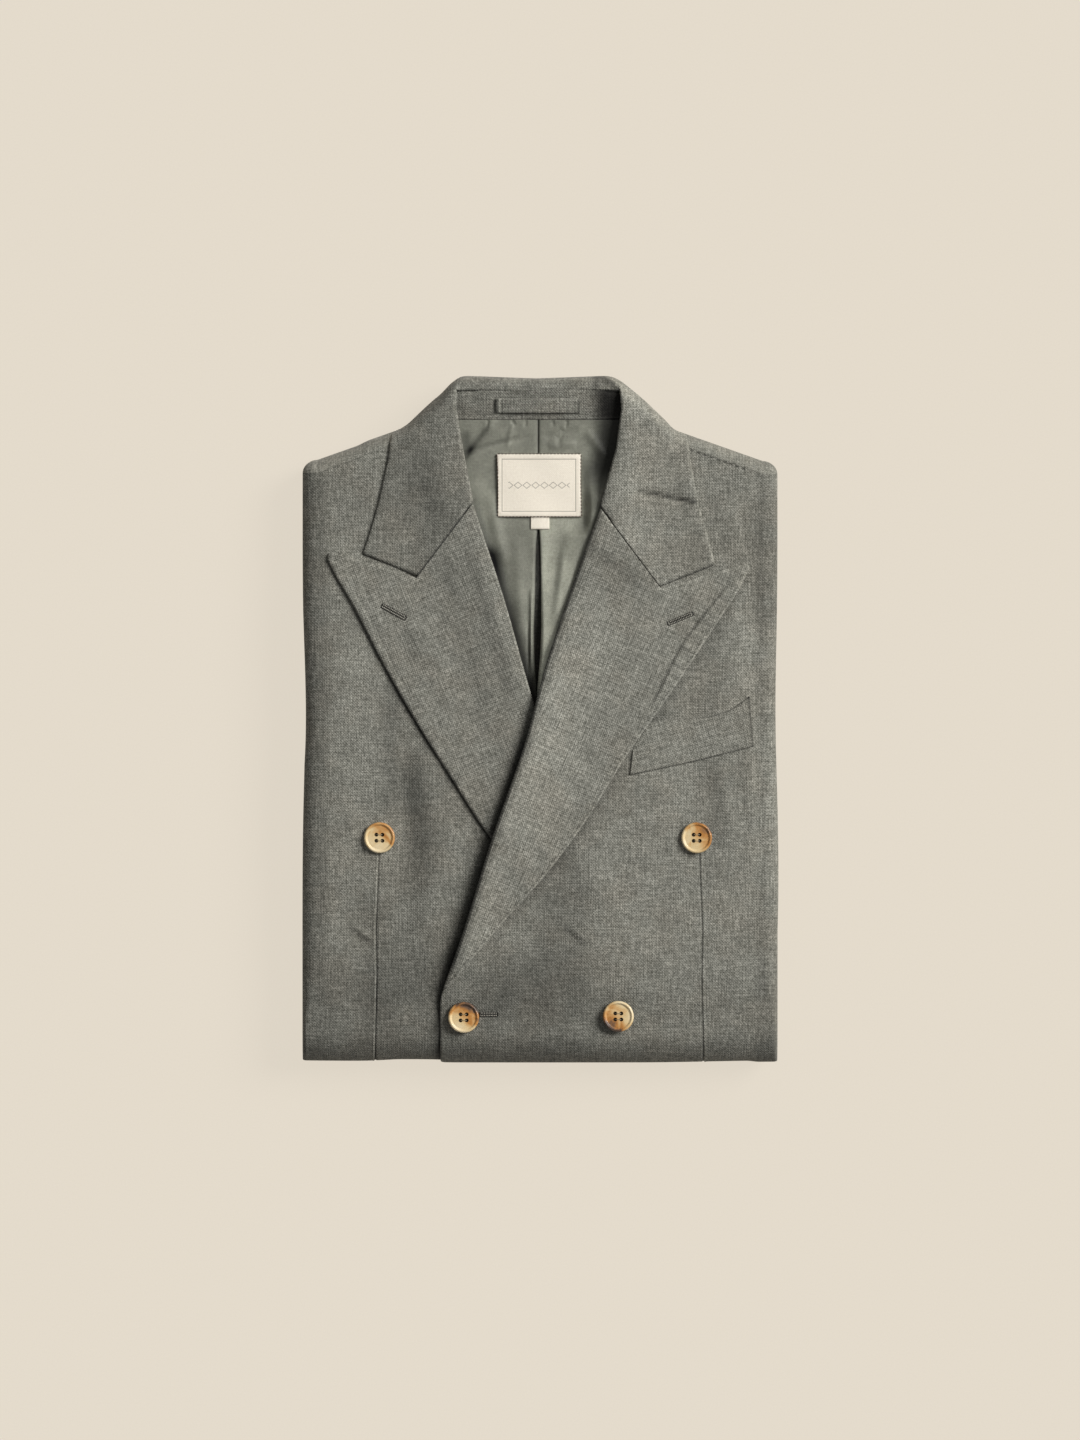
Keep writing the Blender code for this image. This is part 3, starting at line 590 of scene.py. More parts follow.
def front(name, side, edge, dart, skin, marks):
    """Rows down the cloth; across each row the columns run from the cut edge to the dart, close
    together over the dart, on to the side and round it by 150 degrees."""
    s = np.concatenate([
        np.linspace(SEAM_Y, CLOSE_ROWS, 12)[:-1],
        np.linspace(CLOSE_ROWS, CHEST_Y, 54)[:-1],
        np.linspace(CHEST_Y, FOLD_Y, 140)[:-1],
        np.linspace(FOLD_Y, UNDER_START, 36)[:-1],
        np.linspace(UNDER_START, HEM_S + 3.0, 56),
        HEM_S + np.array([2.0, 1.0, 0.0]),
    ])[:, None]
    y = np.where(s < UNDER_START, FOLD_Y + (UNDER_START - s), np.maximum(s, FOLD_Y))
    reach = side_reach(y)
    flat = half_width(y) - reach
    start = side * line_x(edge, s)
    for _ in range(4):
        start = side * line_x(edge, seam_line(s, side * start))
    seam = side * line_x(dart, s)
    near = np.array([-3.0, -2.0, -1.3, -0.8, -0.4, 0.0, 0.4, 0.8, 1.3, 2.0, 3.0])
    inner_share = np.concatenate([[0.0, 0.006, 0.015], np.linspace(0.03, 1.0, 62)])[:-1]
    outer_share = np.linspace(0.0, 1.0, 36)[1:]
    x = np.concatenate([
        start + (seam + near[0] - start) * inner_share,
        seam + near,
        seam + near[-1] + (flat - seam - near[-1]) * outer_share,
    ], axis=1)
    along = seam_line(s, side * x)
    base = skin(side * x, s)
    lift, tone = marks(side * x, along, x - seam, x - start)
    turn = np.radians(np.linspace(7.5, 150, 20))
    room = base[:, -1:] - lift[:, -1:]
    run = SIDE_ROLL * turn + 0.0 * s
    grids = []
    for wall in (0.0, CLOTH):
        inward = reach - room - wall
        wide = np.concatenate([x, flat + inward * np.sin(turn)], axis=1)
        deep = np.concatenate([base - lift + wall,
                               SIDE_ROLL - (SIDE_ROLL - room - wall) * np.cos(turn)], axis=1)
        line = seam_line(s, side * np.minimum(wide, flat))
        edge = base[:, -1:] - lift[:, -1:] + wall
        pull = np.where(wide > flat, fold_reach(edge) + PRESSED * (deep - edge), fold_reach(deep))
        grids.append(place(side * wide, line, deep, pull))
    uv = np.stack([np.concatenate([x, flat + run], axis=1) * side,
                   np.concatenate([along, along[:, -1:] + 0.0 * turn], axis=1)], -1)
    tone = np.concatenate([tone, tone[:, -1:] + 0.0 * turn], axis=1)
    return two_faced(name, grids[0], grids[1], uv, tone, linen)


def dart_marks(offset, s):
    """A pressed seam: a trough 0.6 mm deep with painted shade in it, and a ridge on its outer side
    with a painted highlight.
    """
    here = smooth((-86.0 - s) / 5.0)
    lift = here * (0.22 * band(offset, 0.9, 0.6) - 0.6 * band(offset, -0.2, 0.5))
    tone = here * (0.30 * band(offset, 0.8, 0.45) - 0.42 * band(offset, -0.3, 0.45))
    return lift, tone


# Creases of each front: end, end, height, half-width
RIGHT_CREASES = (
    ((-124.7, -136.6), (-108.9, -148.5), 0.7, 2.6),
    ((-122.0, -142.5), (-110.0, -151.5), -0.5, 2.4),
    ((-91.0, -6.0), (-87.0, -96.0), -1.7, 8.0),
    ((-86.0, -96.0), (-80.0, -186.0), -0.9, 9.0),
    ((-112.0, 40.0), (-112.0, -60.0), 1.1, 10.0),
    ((-70.0, -96.0), (-86.0, -160.0), 0.5, 6.0),
    ((-140.0, 70.0), (-146.0, -30.0), -0.5, 6.0),
    ((-132.0, -40.0), (-120.0, -84.0), 0.4, 6.0),
    ((-146.0, -182.0), (-120.0, -196.0), 0.5, 4.0),
    ((-84.0, 94.0), (-132.0, 106.0), 1.3, 4.0),
)
LEFT_CREASES = (
    ((15.8, -135.3), (31.7, -149.2), 0.6, 2.4),
    ((18.0, -139.0), (33.0, -152.0), -0.5, 2.6),
    ((84.0, -110.0), (70.0, -180.0), -0.5, 7.0),
    ((114.0, -40.0), (116.0, -96.0), -1.2, 6.0),
    ((22.0, -108.0), (16.0, -196.0), -1.1, 7.0),
    ((134.0, 76.0), (146.0, -140.0), 0.9, 8.0),
    ((20.0, -84.0), (44.0, -122.0), 0.5, 6.0),
    ((128.0, -36.0), (140.0, -90.0), -0.5, 5.0),
    ((-30.0, -182.0), (30.0, -202.0), -0.4, 5.0),
    ((118.0, -182.0), (146.0, -196.0), 0.5, 4.0),
    ((-38.0, -134.0), (-46.0, -168.0), 0.4, 5.0),
)

# Painted shade and light of soft folds, edges and creases on each front: end, end, tone, half-width
RIGHT_PAINTED_SHADING = (
    ((-119.0, 78.0), (-92.0, 20.0), -0.28, 4.0),
    ((-94.0, 26.0), (-66.0, -28.0), -0.45, 6.0),
    ((-66.0, -28.0), (-34.0, -80.0), -0.30, 4.0),
    ((-124.0, 60.0), (-120.0, -100.0), 0.16, 9.0),
    ((-99.0, 34.0), (-98.0, -70.0), -0.34, 8.0),
    ((-84.0, -20.0), (-72.0, -118.0), -0.40, 11.0),
    ((-84.0, -100.0), (-80.0, -190.0), -0.10, 22.0),
    ((-112.0, -110.0), (-104.0, -216.0), -0.22, 13.0),
    ((-140.0, 164.0), (-108.0, 126.0), -0.12, 12.0),
    ((-125.0, -137.6), (-109.2, -149.5), -0.34, 1.3),
    ((-124.0, -134.0), (-108.0, -145.5), 0.20, 2.0),
)
LEFT_PAINTED_SHADING = (
    ((20.0, -84.0), (0.0, -200.0), -0.27, 17.0),
    ((-22.0, -150.0), (-30.0, -200.0), -0.20, 14.0),
    ((40.0, -70.0), (60.0, -190.0), 0.08, 14.0),
    ((114.0, -30.0), (116.0, -92.0), -0.14, 6.0),
    ((88.0, -30.0), (86.0, -80.0), 0.06, 7.0),
    ((112.0, 66.0), (110.0, -130.0), -0.16, 9.0),
    ((131.0, 84.0), (134.0, -6.0), 0.20, 8.0),
    ((142.0, -4.0), (143.0, -130.0), 0.20, 6.0),
    ((78.0, 6.0), (92.0, -30.0), -0.25, 8.0),
    ((114.0, 152.0), (122.0, 108.0), -0.15, 9.0),
    ((144.0, 150.0), (144.0, 50.0), -0.16, 6.0),
    ((15.2, -136.6), (31.2, -150.5), -0.38, 1.4),
    ((17.0, -132.6), (33.0, -146.5), 0.18, 2.0),
)


def right_marks(x, s, offset, _):
    """Lift and tone of the right front. It has painted shadow just outside its lapel and beside the
    roll of the left one, and painted shade in a soft fold and towards the bottom fold. Its own cut
    edge is out of sight, so the distance to it isn't used."""
    lift, tone = dart_marks(offset, s)
    lift = lift + creases(x, s, RIGHT_CREASES)
    tone = tone - 0.10 * band(x, -85.0, 9.0) * smooth((-20.0 - s) / 30.0) * smooth((s + 196.0) / 20.0)
    beyond = 0.85 * (line_x(LAPEL_EDGE_RIGHT[4:11], s) - x)
    tone = tone - 0.50 * band(beyond, 0.6, 1.7) * smooth((106.0 - s) / 10.0) * smooth((s + 84.0) / 10.0)
    tone = tone + creases(x, s, RIGHT_PAINTED_SHADING) + roll_shadow(x, s) + painted_falloff_shade(x, s)
    return lift, np.maximum(tone - 0.16 * smooth((-206.0 - s) / 12.0), -0.94)


def left_marks(x, s, offset, from_edge):
    """Lift and tone of the left front. It has a pressed rim along its free edge with a painted
    highlight, painted shadow just beyond its lapel, painted shade towards the bottom fold, and a
    dashed line of stitches along the shoulder seam."""
    lift, tone = dart_marks(offset, s)
    lift = lift + creases(x, s, LEFT_CREASES) - 0.5 * band(from_edge, 0.0, 1.0)
    beyond = 0.82 * (x - line_x(LAPEL_EDGE_LEFT[3:], s))
    tone = tone - 0.26 * band(beyond, 1.0, 4.5) * smooth((98.0 - s) / 8.0) * smooth((s + 170.0) / 40.0)
    tone = tone + creases(x, s, LEFT_PAINTED_SHADING) + painted_falloff_shade(x, s)
    from_seam = seam_line(SEAM_Y, x) - s
    stitched = smooth(0.5 + 1.6 * np.sin(x * 2 * math.pi / 4.3)) * smooth((x - 94.0) / 8.0)
    stitched = stitched * smooth((141.0 - x) / 4.0)
    tone = tone - 0.85 * band(from_seam, 0.7, 0.55) * stitched
    return lift, tone + 0.14 * band(from_edge, 1.0, 1.2) - 0.16 * smooth((-206.0 - s) / 12.0)


right_edge = [(x - 3.6, y) for x, y in ROLL_RIGHT + RIGHT_UNDER] + [(62.0, -190.0)]
left_edge = [(x + 3.6, y) for x, y in ROLL_LEFT[:-2]]
left_edge += [(-57.2, -166.0), (-62.6, -177.0), (-64.4, -182.0), ROLL_LEFT[-1]]
for name, side, edge, dart, skin, marks in (
    ("right_front_cloth", -1, right_edge, DART_RIGHT, skin_right, right_marks),
    ("left_front_cloth", 1, left_edge, DART_LEFT, skin_left, left_marks),
):
    piece = front(name, side, edge, dart, skin, marks)
    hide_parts("front_right" if side < 0 else "front_left")
    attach(piece, "root")


# ---------------------------------------------------------------------------------------------
# Back over the shoulders
# The back reaches forward over each shoulder to a seam beside the collar, so a strip of it shows
# there. It turns over the top end of the fold and goes underneath.
# ---------------------------------------------------------------------------------------------

UNDER_RUN = 30.0            # how far it runs on underneath

for name, node, side in (("right_shoulder_back", "back_right_shoulder", -1),
                         ("left_shoulder_back", "back_left_shoulder", 1)):
    turn = np.concatenate([[0.0, 3.0, 6.0], np.linspace(10, 180, 40), np.full(12, 180.0)])
    turn = np.radians(turn)[:, None]
    under = np.concatenate([np.zeros(43), np.linspace(2.5, UNDER_RUN, 12)])[:, None]
    tucked = smooth(under / UNDER_RUN)
    reach = np.sin(turn)
    flat = HALF_WIDTH - SIDE_REACH[0]
    bend = np.radians(np.linspace(7.5, 90, 12))
    inside = np.concatenate([np.linspace(90.0, flat, 38), np.full(12, flat)])
    across = np.concatenate([np.zeros(38), np.sin(bend)])
    grids = []
    for wall in (0.0, CLOTH):
        x = inside + (SIDE_REACH[0] - wall) * across * np.sqrt(1 - reach ** 2 / 2) * (1 - 0.75 * tucked)
        start = top_edge(side * inside) - END_ROLL + 0.15
        y = start - under + (END_ROLL - wall) * reach * np.sqrt(1 - across ** 2 / 2)
        middle = height(side * x, start + 0.0 * reach) / 2
        drop = (SIDE_ROLL - wall) * (1 - np.sqrt(1 - across ** 2))
        z = middle + (middle - wall - drop) * np.cos(turn) + 3.8 * tucked
        grids.append(np.stack([side * x, y, z], axis=-1))
    uv = np.stack([side * x, start + 1.5 * END_ROLL * turn + under], -1)
    # Painted shade in the shoulder seam, with a painted highlight just past it.
    tone = 0.10 * band(END_ROLL * turn, 1.2, 0.8) - 0.25 * band(END_ROLL * turn, 0.0, 0.5) + 0.0 * x
    piece = two_faced(name, grids[0], grids[1], uv, tone, linen)
    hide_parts(node)
    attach(piece, "root")


# ---------------------------------------------------------------------------------------------
# Lapels
# Each lapel is the front's facing turned back along its roll, two cloths with canvas between.
# A seam runs round inside its edge, and the fine stitches there pucker the rim.
# ---------------------------------------------------------------------------------------------

NOSE_REACH = 2.1            # width radius of the round nose along the roll
GRID_ROWS = 280


def run_along(line):
    """Length along a line of points at each of them."""
    return np.concatenate([[0.0], np.cumsum(np.linalg.norm(np.diff(line, axis=0), axis=1))])


def spread(points, count):
    """Points evenly along a smooth line: cubic pieces between the given points, each with the
    slope that joins its neighbours."""
    points = np.array(points, float)
    at = run_along(points)
    steps = np.linalg.norm(np.diff(points, axis=0), axis=1)
    if len(points) == 2:
        slope = np.repeat(np.diff(points, axis=0) / steps[:, None], 2, axis=0)
    else:
        slope = np.gradient(points, at, axis=0)
    where = np.linspace(0.0, at[-1], count)
    piece = np.clip(np.searchsorted(at, where, side="right") - 1, 0, len(steps) - 1)
    t = ((where - at[piece]) / steps[piece])[:, None]
    size = steps[piece][:, None]
    return ((2 * t ** 3 - 3 * t ** 2 + 1) * points[piece] + (t ** 3 - 2 * t ** 2 + t) * size * slope[piece]
            + (3 * t ** 2 - 2 * t ** 3) * points[piece + 1] + (t ** 3 - t ** 2) * size * slope[piece + 1])


def strip(first, last, share):
    """Grid between two lines with the same number of points, at the given shares across."""
    share = np.asarray(share)[None, :, None]
    return first[:, None, :] * (1 - share) + last[:, None, :] * share


def line_field(plan, line):
    """For each place of a plan grid: distance to a line, and length along the line there."""
    dense = spread(line, 400) if len(line) < 100 else line
    run = run_along(dense)
    flat = plan.reshape(-1, 2)
    nearest = np.empty(len(flat), int)
    distance = np.empty(len(flat))
    for part in np.array_split(np.arange(len(flat)), 24):
        gap = np.hypot(flat[part, None, 0] - dense[None, :, 0], flat[part, None, 1] - dense[None, :, 1])
        nearest[part] = gap.argmin(axis=1)
        distance[part] = gap.min(axis=1)
    return distance.reshape(plan.shape[:2]), run[nearest].reshape(plan.shape[:2])


def turned_back(name, plan, base, relief, tone, drop, wall, angle):
    """A sheet on depth base, raised by relief, with a round nose of the given drop at its first
    column, the roll. The cloth's own grain is turned by angle."""
    first = plan[:, 0]
    ahead = plan[:, 3] - first
    ahead /= np.linalg.norm(ahead, axis=1, keepdims=True)
    radius = (wall + drop) / 2
    laid = plan.copy()
    laid[:, 0] = first + ahead * NOSE_REACH
    behind = ((laid[:, 1:] - laid[:, :1]) * ahead[:, None]).sum(-1) < 0.05
    laid[:, 1:] = np.where(behind[..., None], laid[:, :1], laid[:, 1:])
    outer = place(laid[..., 0], laid[..., 1], base - wall - relief)
    inner = place(laid[..., 0], laid[..., 1], base)
    degrees = np.linspace(170, 10, 13)[::-1]
    nose_outer = []
    nose_inner = []
    for step in degrees:
        turn = math.radians(step)
        at = first + ahead * NOSE_REACH * (1 - math.sin(turn))
        round_depth = base[:, 0] - wall - relief[:, 0] + radius + radius * math.cos(turn)
        nose_outer.append(place(at[:, 0], at[:, 1], round_depth))
        nose_inner.append(place(laid[:, 0, 0], laid[:, 0, 1], base[:, 0] + 0.9 * drop * (180 - step) / 180))
    outer = np.concatenate([np.stack(nose_outer, axis=1), outer], axis=1)
    inner = np.concatenate([np.stack(nose_inner, axis=1), inner], axis=1)
    # The round nose gets a painted highlight.
    nose_tone = tone[:, :1] + 0.06 * np.sin(np.radians(degrees))[None, :] ** 2
    tone = np.concatenate([nose_tone, tone], axis=1)
    grain = np.array([[math.cos(angle), math.sin(angle)], [-math.sin(angle), math.cos(angle)]])
    flat = np.concatenate([np.repeat(first[:, None], len(degrees), axis=1), laid], axis=1)
    round_run = radius * (math.pi - np.radians(degrees))
    flat[:, :len(degrees)] -= ahead[:, None] * round_run[None, :, None] * 0.5
    return two_faced(name, outer, inner, flat @ grain.T, tone, linen)


def lapel(name, node, roll, edge, end, base, angle, seam_width, strength, painted_shading):
    """Grid of the lapel between its roll, a middle line from the notch, and its edge. A seam runs
    at seam_width inside the edge, and its pucker and stitches go by strength. Its tone is painted
    light and shade: shade in the seam's groove and between puckers, highlights beside the seam and
    along the edge, stronger at the tip, a shadow line along its top edge as strength falls, and
    painted_shading(x, s)."""
    roll = spread(roll, GRID_ROWS)
    middle = spread([edge[0], end], GRID_ROWS)
    outer = spread(edge[1:], GRID_ROWS)
    top = spread(edge[:2], 90)
    inside = strip(roll, middle, np.linspace(0.0, 1.0, 46))
    to_edge = np.concatenate([np.linspace(0.0, 0.93, 40)[1:], [0.96, 0.98, 0.99, 1.0]])
    outside = strip(middle, outer, to_edge)
    plan = np.concatenate([inside, outside], axis=1)
    x, s = plan[..., 0], plan[..., 1]
    distance, _ = line_field(plan, np.concatenate([top, outer[1:]]))
    inward, run = line_field(plan, outer)
    width = np.maximum(read(seam_width, s, ease=6.0), 1.6)
    held = smooth((s - 2.0) / 16.0) * smooth((93.0 - s) / 15.0)
    inner_seam = band(inward, width, 1.0) * held
    uneven = 2.2 * np.sin(run / 8.0) + 1.4 * np.sin(run / 21.0)
    pucker = np.sin(run * 2 * math.pi / 7.2 + uneven) * band(inward, width * 0.5, width * 0.42)
    relief = strength * (0.5 * (1 - smooth((inward - width + 0.8) / 1.6)) * held - 0.6 * inner_seam)
    relief = relief + strength * 0.3 * pucker
    relief = relief - 0.7 * band(distance, 0.0, 0.7) + creases(x, s, LAPEL_CREASES)
    tone = strength * (0.16 * held * band(inward, width - 1.8, 0.9) - 0.44 * inner_seam)
    dashes = smooth(2.5 * np.sin(run * 2 * math.pi / 3.4)) * band(inward, 1.5, 0.45)
    top_gap, _ = line_field(plan, top)
    tone = tone - (1.0 - strength) * 0.55 * band(top_gap, 0.3, 0.7)
    tip = smooth((s - 60.0) / 30.0) * strength
    tone = tone + (0.12 + 0.16 * tip) * band(distance, 0.4, 0.8 + 0.5 * tip)
    tone = tone - strength * (0.14 * pucker + 0.60 * dashes) + painted_shading(x, s)
    bed = base(x, s)
    piece = turned_back(name, plan, bed, relief, tone, CLOTH + GAP, LAPEL, angle)
    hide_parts(node)
    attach(piece, "root")
    return piece


# Creases of both lapels: end, end, height, half-width
LAPEL_CREASES = (
    ((-96.0, 84.0), (-60.0, 20.0), 0.5, 9.0),
    ((-60.0, 70.0), (-30.0, -30.0), -0.5, 9.0),
    ((70.0, 66.0), (30.0, -30.0), 0.6, 10.0),
    ((100.0, 82.0), (84.0, 60.0), -0.4, 5.0),
    ((34.0, 92.0), (14.0, 20.0), -0.5, 8.0),
    ((24.0, -30.0), (-16.0, -96.0), 0.5, 7.0),
)


def left_lapel_tone(x, s):
    """Painted light along its middle and beside the collar's seam, painted shade in a fold below
    that seam and on its roll, and the painted fall-off shade.
    """
    inside = 0.93 * (x - line_x(ROLL_LEFT, s))
    turned = roll_turn_shade(inside) * smooth((s + 176.0) / 20.0)
    return turned + painted_falloff_shade(x, s) + creases(x, s, (
        ((40.0, 84.0), (-12.0, -100.0), 0.30, 22.0),
        ((31.0, 115.0), (72.0, 81.0), -0.33, 4.8),
        ((38.4, 138.4), (57.0, 113.8), 0.5, 0.8),
        ((-20.0, -110.0), (-54.0, -170.0), 0.06, 8.0),
        ((104.0, 84.0), (112.0, 92.0), 0.10, 8.0),
    ))


def right_lapel_tone(x, s):
    """Painted light on a rim at its roll, painted shade in a trough beside it, the left roll's
    painted shadow, and painted shade and light of soft folds.
    """
    inside = line_x(ROLL_RIGHT, s) - x
    near_roll = 0.16 * band(inside, 4.5, 3.0) - 0.26 * band(inside, 14.0, 5.5)
    near_roll = near_roll * smooth((122.0 - s) / 14.0) * smooth(s / 24.0)
    return near_roll + roll_shadow(x, s) + painted_falloff_shade(x, s) + creases(x, s, (
        ((-70.0, 116.0), (-30.0, -20.0), -0.13, 14.0),
        ((-62.0, 122.0), (-54.0, 76.0), -0.16, 8.0),
        ((-112.0, 84.0), (-80.0, 20.0), 0.06, 8.0),
        ((-96.0, 66.0), (-78.0, 34.0), -0.10, 8.0),
    ))


LAPEL_GRAIN = 0.42          # turn of the weave on the right lapel, and the other way on the left

# How far inside a lapel's edge its seam runs: place along the cloth, distance
SEAM_RIGHT = ((-180, 2.0), (-60, 3.0), (-10, 4.0), (60, 6.0), (110, 6.5))
SEAM_LEFT = ((-180, 2.0), (-60, 3.6), (-10, 5.0), (12, 5.8), (28, 9.0), (48, 11.6), (68, 10.2), (92, 7.0))


def on_right_front(x, _):
    """Depth of the right lapel's underside: a gap above the right front."""
    return np.full_like(x, -GAP)


def on_left_front(x, s):
    """Depth of the left lapel's underside, and of the welt's: a gap above the left front."""
    return skin_left(x, s) - GAP


right_lapel = lapel("right_lapel_cloth", "lapel_right",
                    ((-44.2, 140.6),) + ROLL_RIGHT[3:] + RIGHT_UNDER, LAPEL_EDGE_RIGHT,
                    (58.6, -178.0), on_right_front, LAPEL_GRAIN, SEAM_RIGHT, 0.5, right_lapel_tone)
left_lapel = lapel("left_lapel_cloth", "lapel_left",
                   ((39.6, 137.2),) + ROLL_LEFT[3:-2] + ((-63.4, -178.0),), LAPEL_EDGE_LEFT,
                   (-61.9, -177.7), on_left_front, -LAPEL_GRAIN, SEAM_LEFT, 1.0, left_lapel_tone)


# ---------------------------------------------------------------------------------------------
# Collar
# One piece round the neck: a leaf on each front with a notch at its lapel, and the fall behind
# the neck, which turns over the top end of the fold. Its end edges are stitched.
# ---------------------------------------------------------------------------------------------

COLLAR_INNER = ((-80.9, 93.2), (-62.0, 118.2), (-44.0, 142.2), (-50.8, 177.5), (-55.0, 203.0),
                (-55.0, 216.8), (-25.0, 216.4), (-2.5, 215.9), (20.0, 216.4), (52.6, 217.2),
                (53.6, 203.0), (50.2, 177.5), (39.4, 139.1), (59.4, 112.6), (78.9, 86.3))
COLLAR_OUTER = ((-116.2, 107.8), (-111.5, 122.0), (-106.0, 141.0), (-99.6, 170.0), (-97.5, 190.0),
                (-90.0, 222.0), (-40.0, 254.0), (-2.5, 258.0), (35.0, 254.0), (85.0, 222.0),
                (96.5, 190.0), (98.6, 170.0), (104.2, 140.0), (109.6, 121.0), (114.8, 100.6))

# Where the collar turns from a leaf to the strip behind the neck: place along the cloth, across
COLLAR_TURN_LEFT = ((203, 53.6), (212, 54.2), (217, 53.0), (220, 51.4), (223, 48.8), (226, 45.0))
COLLAR_TURN_RIGHT = ((203, -55.0), (216, -55.6), (220, -55.2), (223, -53.0), (226, -49.0))

# Its painted light and shade, lighter or darker across it: across, tone
COLLAR_PAINTED_SHADING = ((-118, -0.12), (-86, -0.16), (-72, -0.28), (-60, -0.14), (0, -0.08), (40, -0.10),
                 (60, 0.30), (70, 0.16), (92, 0.10), (100, -0.06))


def over_end(x, v, depth):
    """Point at x and v along the collar: on the skin, then round the top end of the fold."""
    x, v, depth = np.broadcast_arrays(*(np.asarray(value, float) for value in (x, v, depth)))
    start = top_edge(x) - END_ROLL
    level = height(x, start)
    middle = (level + 2 * GAP + LAPEL) / 2
    angle = np.clip((v - start) / (END_ROLL + 8.0) * 1.5, 0.0, 2.9)
    proud = 1.0 - smooth((np.abs(x - NECK_X) - 66.0) / 26.0)
    y = np.where(v > start, start + (END_ROLL - depth * proud) * np.sin(angle), v)
    z = np.where(v > start, middle + (level - middle - depth) * np.cos(angle), height(x, v) - depth)
    return np.stack([x, y, z], axis=-1)


def between(points, steps):
    """The stations with straight steps between them."""
    points = np.array(points, float)
    where = np.linspace(0, len(points) - 1, steps * (len(points) - 1) + 1)
    return np.stack([np.interp(where, np.arange(len(points)), points[:, k]) for k in (0, 1)], -1)


inner_line = between(COLLAR_INNER, 18)
outer_line = between(COLLAR_OUTER, 18)
share = np.concatenate([[0.0, 0.01, 0.025], np.linspace(0.05, 0.95, 50), [0.975, 0.99, 1.0]])
plan = strip(inner_line, outer_line, share)
across, along = plan[..., 0], plan[..., 1]
bed = np.where(across > 0, skin_left(across, along), 0.0) - GAP
relief = np.zeros(across.shape)
tone = np.zeros(across.shape)
end_right, _ = line_field(plan, np.stack([inner_line[0], outer_line[0]]))
end_left, _ = line_field(plan, np.stack([inner_line[-1], outer_line[-1]]))
outer_gap, _ = line_field(plan, outer_line[::3])
roll_gap, _ = line_field(plan, inner_line[30:-30])
# Each end edge gets painted shadow as a dark line right at the edge, darker at the left end, and a faint
# stitch line 5 mm inside.
for gap, dark in ((end_right, 0.30), (end_left, 0.52)):
    relief = relief - 0.55 * band(gap, 0.0, 0.7) - 0.30 * band(gap, 5.0, 0.7)
    tone = tone - dark * band(gap, 0.1, 0.5) - 0.08 * band(gap, 5.0, 0.6)
# Painted shade in the gap of each seam with a lapel, with a painted highlight beside it.
for lapel_seam in (COLLAR_INNER[:3], COLLAR_INNER[-3:]):
    gap, _ = line_field(plan, between(lapel_seam, 60))
    tone = tone - 0.50 * band(gap, 0.0, 0.5) + 0.10 * band(gap, 1.3, 0.5)
# The outer edge rolls under, with a painted highlight along it.
relief = relief - 0.6 * band(outer_gap, 0.0, 0.8)
tone = tone + 0.18 * band(outer_gap, 0.0, 0.8)
roll_round = np.sqrt(np.clip(1 - np.clip(1 - roll_gap / 2.4, 0.0, 1.0) ** 2, 0.0, 1.0))
relief = relief - 1.3 * (1 - roll_round)
left_turn = read(COLLAR_TURN_LEFT, along)
right_turn = read(COLLAR_TURN_RIGHT, along)
behind = smooth((left_turn - across) / 2.2) * smooth((across - right_turn) / 2.2)
behind = behind * smooth((along - 211.0) / 4.0) * smooth((238.0 - along) / 8.0)
# Painted highlight beside the roll and the painted light and shade across the collar. corner is painted
# shadow where the collar turns behind the neck by the left roll, and a wave of painted light and shade runs
# along the fall.
tone = tone + 0.10 * band(roll_gap, 1.2, 1.0) + read(COLLAR_PAINTED_SHADING, across, ease=4.0)
corner = 0.62 * band(across, left_turn - 3.0, 6.5) + 0.40 * band(across, 36.5, 2.6)
tone = tone - behind * corner
tone = tone + 0.09 * behind * np.sin(across / 4.6 + 1.1 * np.sin(across / 13.0))
# Painted shade in soft folds, and in the crease across the left leaf.
tone = tone + creases(across, along, (
    ((-94.0, 186.0), (-50.0, 108.0), -0.20, 13.0),
    ((-112.0, 176.0), (-98.0, 132.0), -0.10, 9.0),
    ((92.0, 166.0), (100.0, 112.0), -0.14, 8.0),
    ((62.0, 149.6), (107.0, 140.6), -0.80, 1.1),
))
on_left_leaf = smooth((across - 20.0) / 10.0) * smooth((214.0 - along) / 14.0)
tone = tone + 0.7 * roll_turn_shade(roll_gap) * on_left_leaf
relief = relief + creases(across, along, (
    ((60.0, 149.9), (107.0, 140.5), -1.1, 1.5),
    ((62.0, 152.8), (106.0, 144.3), 0.45, 2.2),
    ((-66.0, 152.0), (-100.0, 132.0), 0.35, 5.0),
    ((-58.0, 190.0), (-84.0, 160.0), -0.4, 8.0),
    ((58.0, 196.0), (84.0, 170.0), 0.4, 8.0),
))
neck_gap, _ = line_field(plan, between(COLLAR_INNER[5:10], 30))
bed = bed + 3.7 * (1.0 - smooth(neck_gap / 7.0)) * behind
seam_stitch = smooth(0.6 + 1.6 * np.sin(across * 2 * math.pi / 2.6))
tone = tone - behind * (0.32 * band(neck_gap, 0.5, 0.4) - 0.10 * band(neck_gap, 1.5, 0.5) * seam_stitch)
outer = over_end(across, along, bed - LAPEL - relief)
inner = over_end(across, along, bed)
collar = two_faced("collar_cloth", outer, inner, plan, tone, linen)
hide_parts("collar")
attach(collar, "root")


# ---------------------------------------------------------------------------------------------
# Collar stand and hanger loop
# The stand is the band inside the neck, between the collar's fold and the linings. The loop is a
# flat band of the same cloth, sewn down at both ends and slack between.
# ---------------------------------------------------------------------------------------------

STAND_TOP = 217.3
NECK_SEAM = 196.4           # where the linings are sewn to the stand
LOOP_LEFT = -29.0
LOOP_RIGHT = 26.4
LOOP_WALL = 1.2


